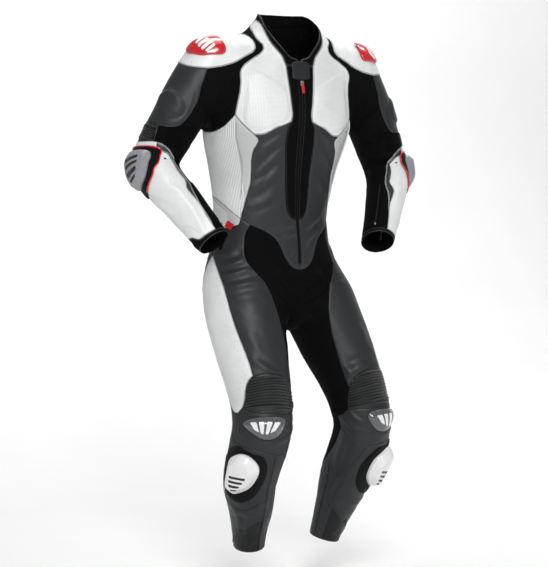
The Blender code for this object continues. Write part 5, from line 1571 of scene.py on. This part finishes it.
# top and bottom of the row of teeth, their pitch and lift, how far a tooth reaches past the
# middle and back, and half its length along the zip
TEETH = {"top": -64, "bottom": -556, "pitch": 1.45, "lift": 0.9, "past": 0.7, "back": 2.3,
         "half": 0.58}
TOOTH_HEIGHTS = (0.95, 0.85, 0.5)


def zip_teeth():
    """Moulded teeth on both tapes, locked all along."""
    heights = np.arange(TEETH["top"], TEETH["bottom"], -TEETH["pitch"])
    on = on_form("B", np.zeros(len(heights)), heights)
    normal = normals(on)
    line = on + TEETH["lift"] * normal
    run = unit(np.gradient(line, axis=0))
    across = np.cross(normal, run)
    tall = np.array(TOOTH_HEIGHTS)[:, None, None]
    bundle = Bundle()
    for i, spot in enumerate(line):
        way = 1 if i % 2 else -1
        near = spot - TEETH["past"] * way * across[i]
        far = spot + TEETH["back"] * way * across[i]
        points, faces = swept(np.array([near, (near + far) / 2, far]),
                              np.repeat(normal[i:i + 1], 3, 0), np.repeat(run[i:i + 1], 3, 0),
                              TEETH["half"], tall, 4)
        bundle.add(stance(points), faces)
    bundle.piece("zip_teeth", "zip_teeth", SLOT_OF["main_zip"])


def bevelled(node, look, width, body):
    """A hard piece with its edges rounded."""
    shape = bmesh.new()
    shape.from_mesh(frame["nodes"][node].data)
    bmesh.ops.remove_doubles(shape, verts=shape.verts, dist=1e-6)
    bmesh.ops.dissolve_limit(shape, angle_limit=math.radians(1), verts=shape.verts,
                             edges=shape.edges)
    edges = [e for e in shape.edges if len(e.link_faces) == 2
             and e.calc_face_angle(0) > math.radians(30)]
    bmesh.ops.bevel(shape, geom=edges, offset=width, segments=2, affect="EDGES",
                    clamp_overlap=True)
    mesh = bpy.data.meshes.new(f"{node}_metal")
    shape.to_mesh(mesh)
    shape.free()
    mesh.materials.clear()
    mesh.materials.append(MATERIALS[look])
    mesh.shade_smooth()
    mesh.set_sharp_from_angle(angle=math.radians(40))
    made = bpy.data.objects.new(f"{node}_piece", mesh)
    bpy.context.scene.collection.objects.link(made)
    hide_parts(node)
    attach(made, body)


# ---------------------------------------------------------------- the whole suit

def dress_all():
    for node in frame["nodes"]:
        if base_of(node) in PANELS:
            dress(node)


# panel: depth in from its edge, half width and half height of its rounded edge
RIMS = {
    "chest": (1.6, 2.0, 1.3),
    "shoulder_cup": (1.6, 2.0, 1.5),
    "flank": (1.2, 1.3, 0.9),
    "forearm": (1.2, 1.2, 0.9),
    "thigh_outer": (1.3, 1.4, 1.0),
    "abdomen": (1.1, 1.1, 0.8),
    "thigh_front": (1.0, 0.9, 0.7),
    "knee_cup": (1.1, 1.1, 0.8),
    "sleeve_outer": (1.1, 1.1, 0.8),
    "seat": (1.0, 0.9, 0.7),
    "back": (1.0, 0.9, 0.7),
    "collar": (0.9, 1.1, 1.0),
    "cuff": (0.9, 1.0, 0.8),
}


def edge_work():
    """Stitches and piping along the panels' seams."""
    white, dark, white_rim, dark_rim = Bundle(), Bundle(), Bundle(), Bundle()
    for node, facts in PANEL_FACTS.items():
        base = base_of(node)
        rows = PANELS[base][3]
        rim = RIMS.get(base)
        if not rows and not rim:
            continue
        line, into, surface = ring_frame(facts)
        tree = tree_of(facts["ring"])
        light = PANELS[base][2].startswith("white")
        for depth in rows:
            stitched(white if light else dark, line, into, surface, depth * MM, tree)
        if rim:
            depth, wide, tall = (size * MM for size in rim)
            piping(white_rim if light else dark_rim, line, into, surface, depth, wide, tall)
    white.piece("white_stitches", "white_thread", "white_leather")
    dark.piece("dark_stitches", "black_thread", "dark_leather")
    white_rim.piece("white_piping", "white_edge", "white_leather")
    dark_rim.piece("dark_piping", "dark_edge", "dark_leather")


STAGE = {"ground": -1.365, "near": -9.0, "far": 3.2, "bend": 1.6, "wide": 9.0, "top": 7.0}
SWEEP_EDGE = (0.477, -0.92)                # the sweep's left edge, x against y

TARGET, REACH = (0, 0, -0.60), 5.3         # what the camera looks at, and from how far
AZIMUTH, ELEVATION = -33, 1.5
LENS = {"sensor_width": 36, "lens": 131.9, "shift_x": -0.0009, "shift_y": -0.0056, "clip_end": 60}

# light: place, what it is aimed at, width and height, power
LAMPS = {
    "key": ((-1.7, -3.4, 1.6), (0, 0, -0.4), (1.3, 1.5), 106),
    "fill": ((1.6, -4.6, 0.2), (0, 0, -0.6), (2.0, 3.0), 14),
    "side_left": ((-4.2, 0.6, 0.6), (0, 0, -0.5), (1.2, 3.2), 4),
    "side_right": ((3.8, 1.2, 0.8), (0, 0, -0.5), (1.2, 3.2), 7),
    "top": ((0, 0.4, 3.2), (0, 0, -0.3), (2.2, 1.8), 22),
    "wall": ((1.6, 0.9, 3.4), (1.9, 3.2, -0.4), (3.4, 1.2), 110),
}
DAYLIGHT = 0.32


def backdrop():
    """A pale floor that sweeps up where the camera looks."""
    ground, near, far, bend, wide, top = STAGE.values()
    start = far - bend

    def left(y):
        return SWEEP_EDGE[0] * y + SWEEP_EDGE[1]

    rows = [((-wide, wide), near, ground), ((-wide, wide), start, ground)]
    for turn in math.pi / 2 * np.arange(13) / 12:
        y = start + bend * math.sin(turn)
        rows.append(((left(y), wide), y, ground + bend * (1 - math.cos(turn))))
    rows.append(((left(far), wide), far, top))
    rows += [((-wide, left(start)), start, ground), ((-wide, left(start)), wide, ground)]
    points = np.array([(x, y, z) for ends, y, z in rows for x in ends])
    faces = [[2 * i, 2 * i + 1, 2 * i + 3, 2 * i + 2] for i in range(len(rows) - 1)
             if i not in (1, len(rows) - 3)]
    look = Looks("backdrop", 0.9)
    paint = look.mix(look.remap(look.noise(3.0), 0.3, 0.7, 0.0, 1.0), (0.93, 0.93, 0.93, 1),
                     (0.95, 0.95, 0.95, 1))
    MATERIALS["backdrop"] = look.finish(paint)
    floor = new_piece("backdrop", points, faces, "backdrop")


def placed(name, data, place, back):
    """An object at a place that looks away from back."""
    made = bpy.data.objects.new(name, data)
    made.location = place
    made.rotation_mode = "QUATERNION"
    made.rotation_quaternion = (-back).to_track_quat("-Z", "Y")
    bpy.context.scene.collection.objects.link(made)
    return made


def make_stage():
    """The floor, the camera and soft lights."""
    backdrop()
    azimuth, elevation = math.radians(AZIMUTH), math.radians(ELEVATION)
    back = Vector((math.sin(azimuth) * math.cos(elevation),
                   -math.cos(azimuth) * math.cos(elevation), math.sin(elevation)))
    view = bpy.data.cameras.new("camera")
    for name, value in LENS.items():
        setattr(view, name, value)
    bpy.context.scene.camera = placed("camera", view, Vector(TARGET) + REACH * back, back)
    for name, (place, aim, size, power) in LAMPS.items():
        light = bpy.data.lights.new(name, "AREA")
        light.shape = "RECTANGLE"
        light.size, light.size_y = size
        light.energy = power
        placed(name, light, place, Vector(place) - Vector(aim))
    world = bpy.data.worlds.new("studio")
    world.use_nodes = True
    sky = world.node_tree.nodes["Background"]
    sky.inputs[0].default_value = (1, 1, 1, 1)
    sky.inputs[1].default_value = DAYLIGHT
    bpy.context.scene.world = world
    bpy.context.scene.view_settings.view_transform = "Standard"


crease_paths()
dress_all()
declare_sheets()
edge_work()
all_lying()
red_edges()
welts()
seam_tapes()
tag()
zip_teeth()
bevelled("zip_slider", "steel", 0.00035, "suit")
bevelled("zip_pull", "red_plastic", 0.0003, "pull")
make_stage()
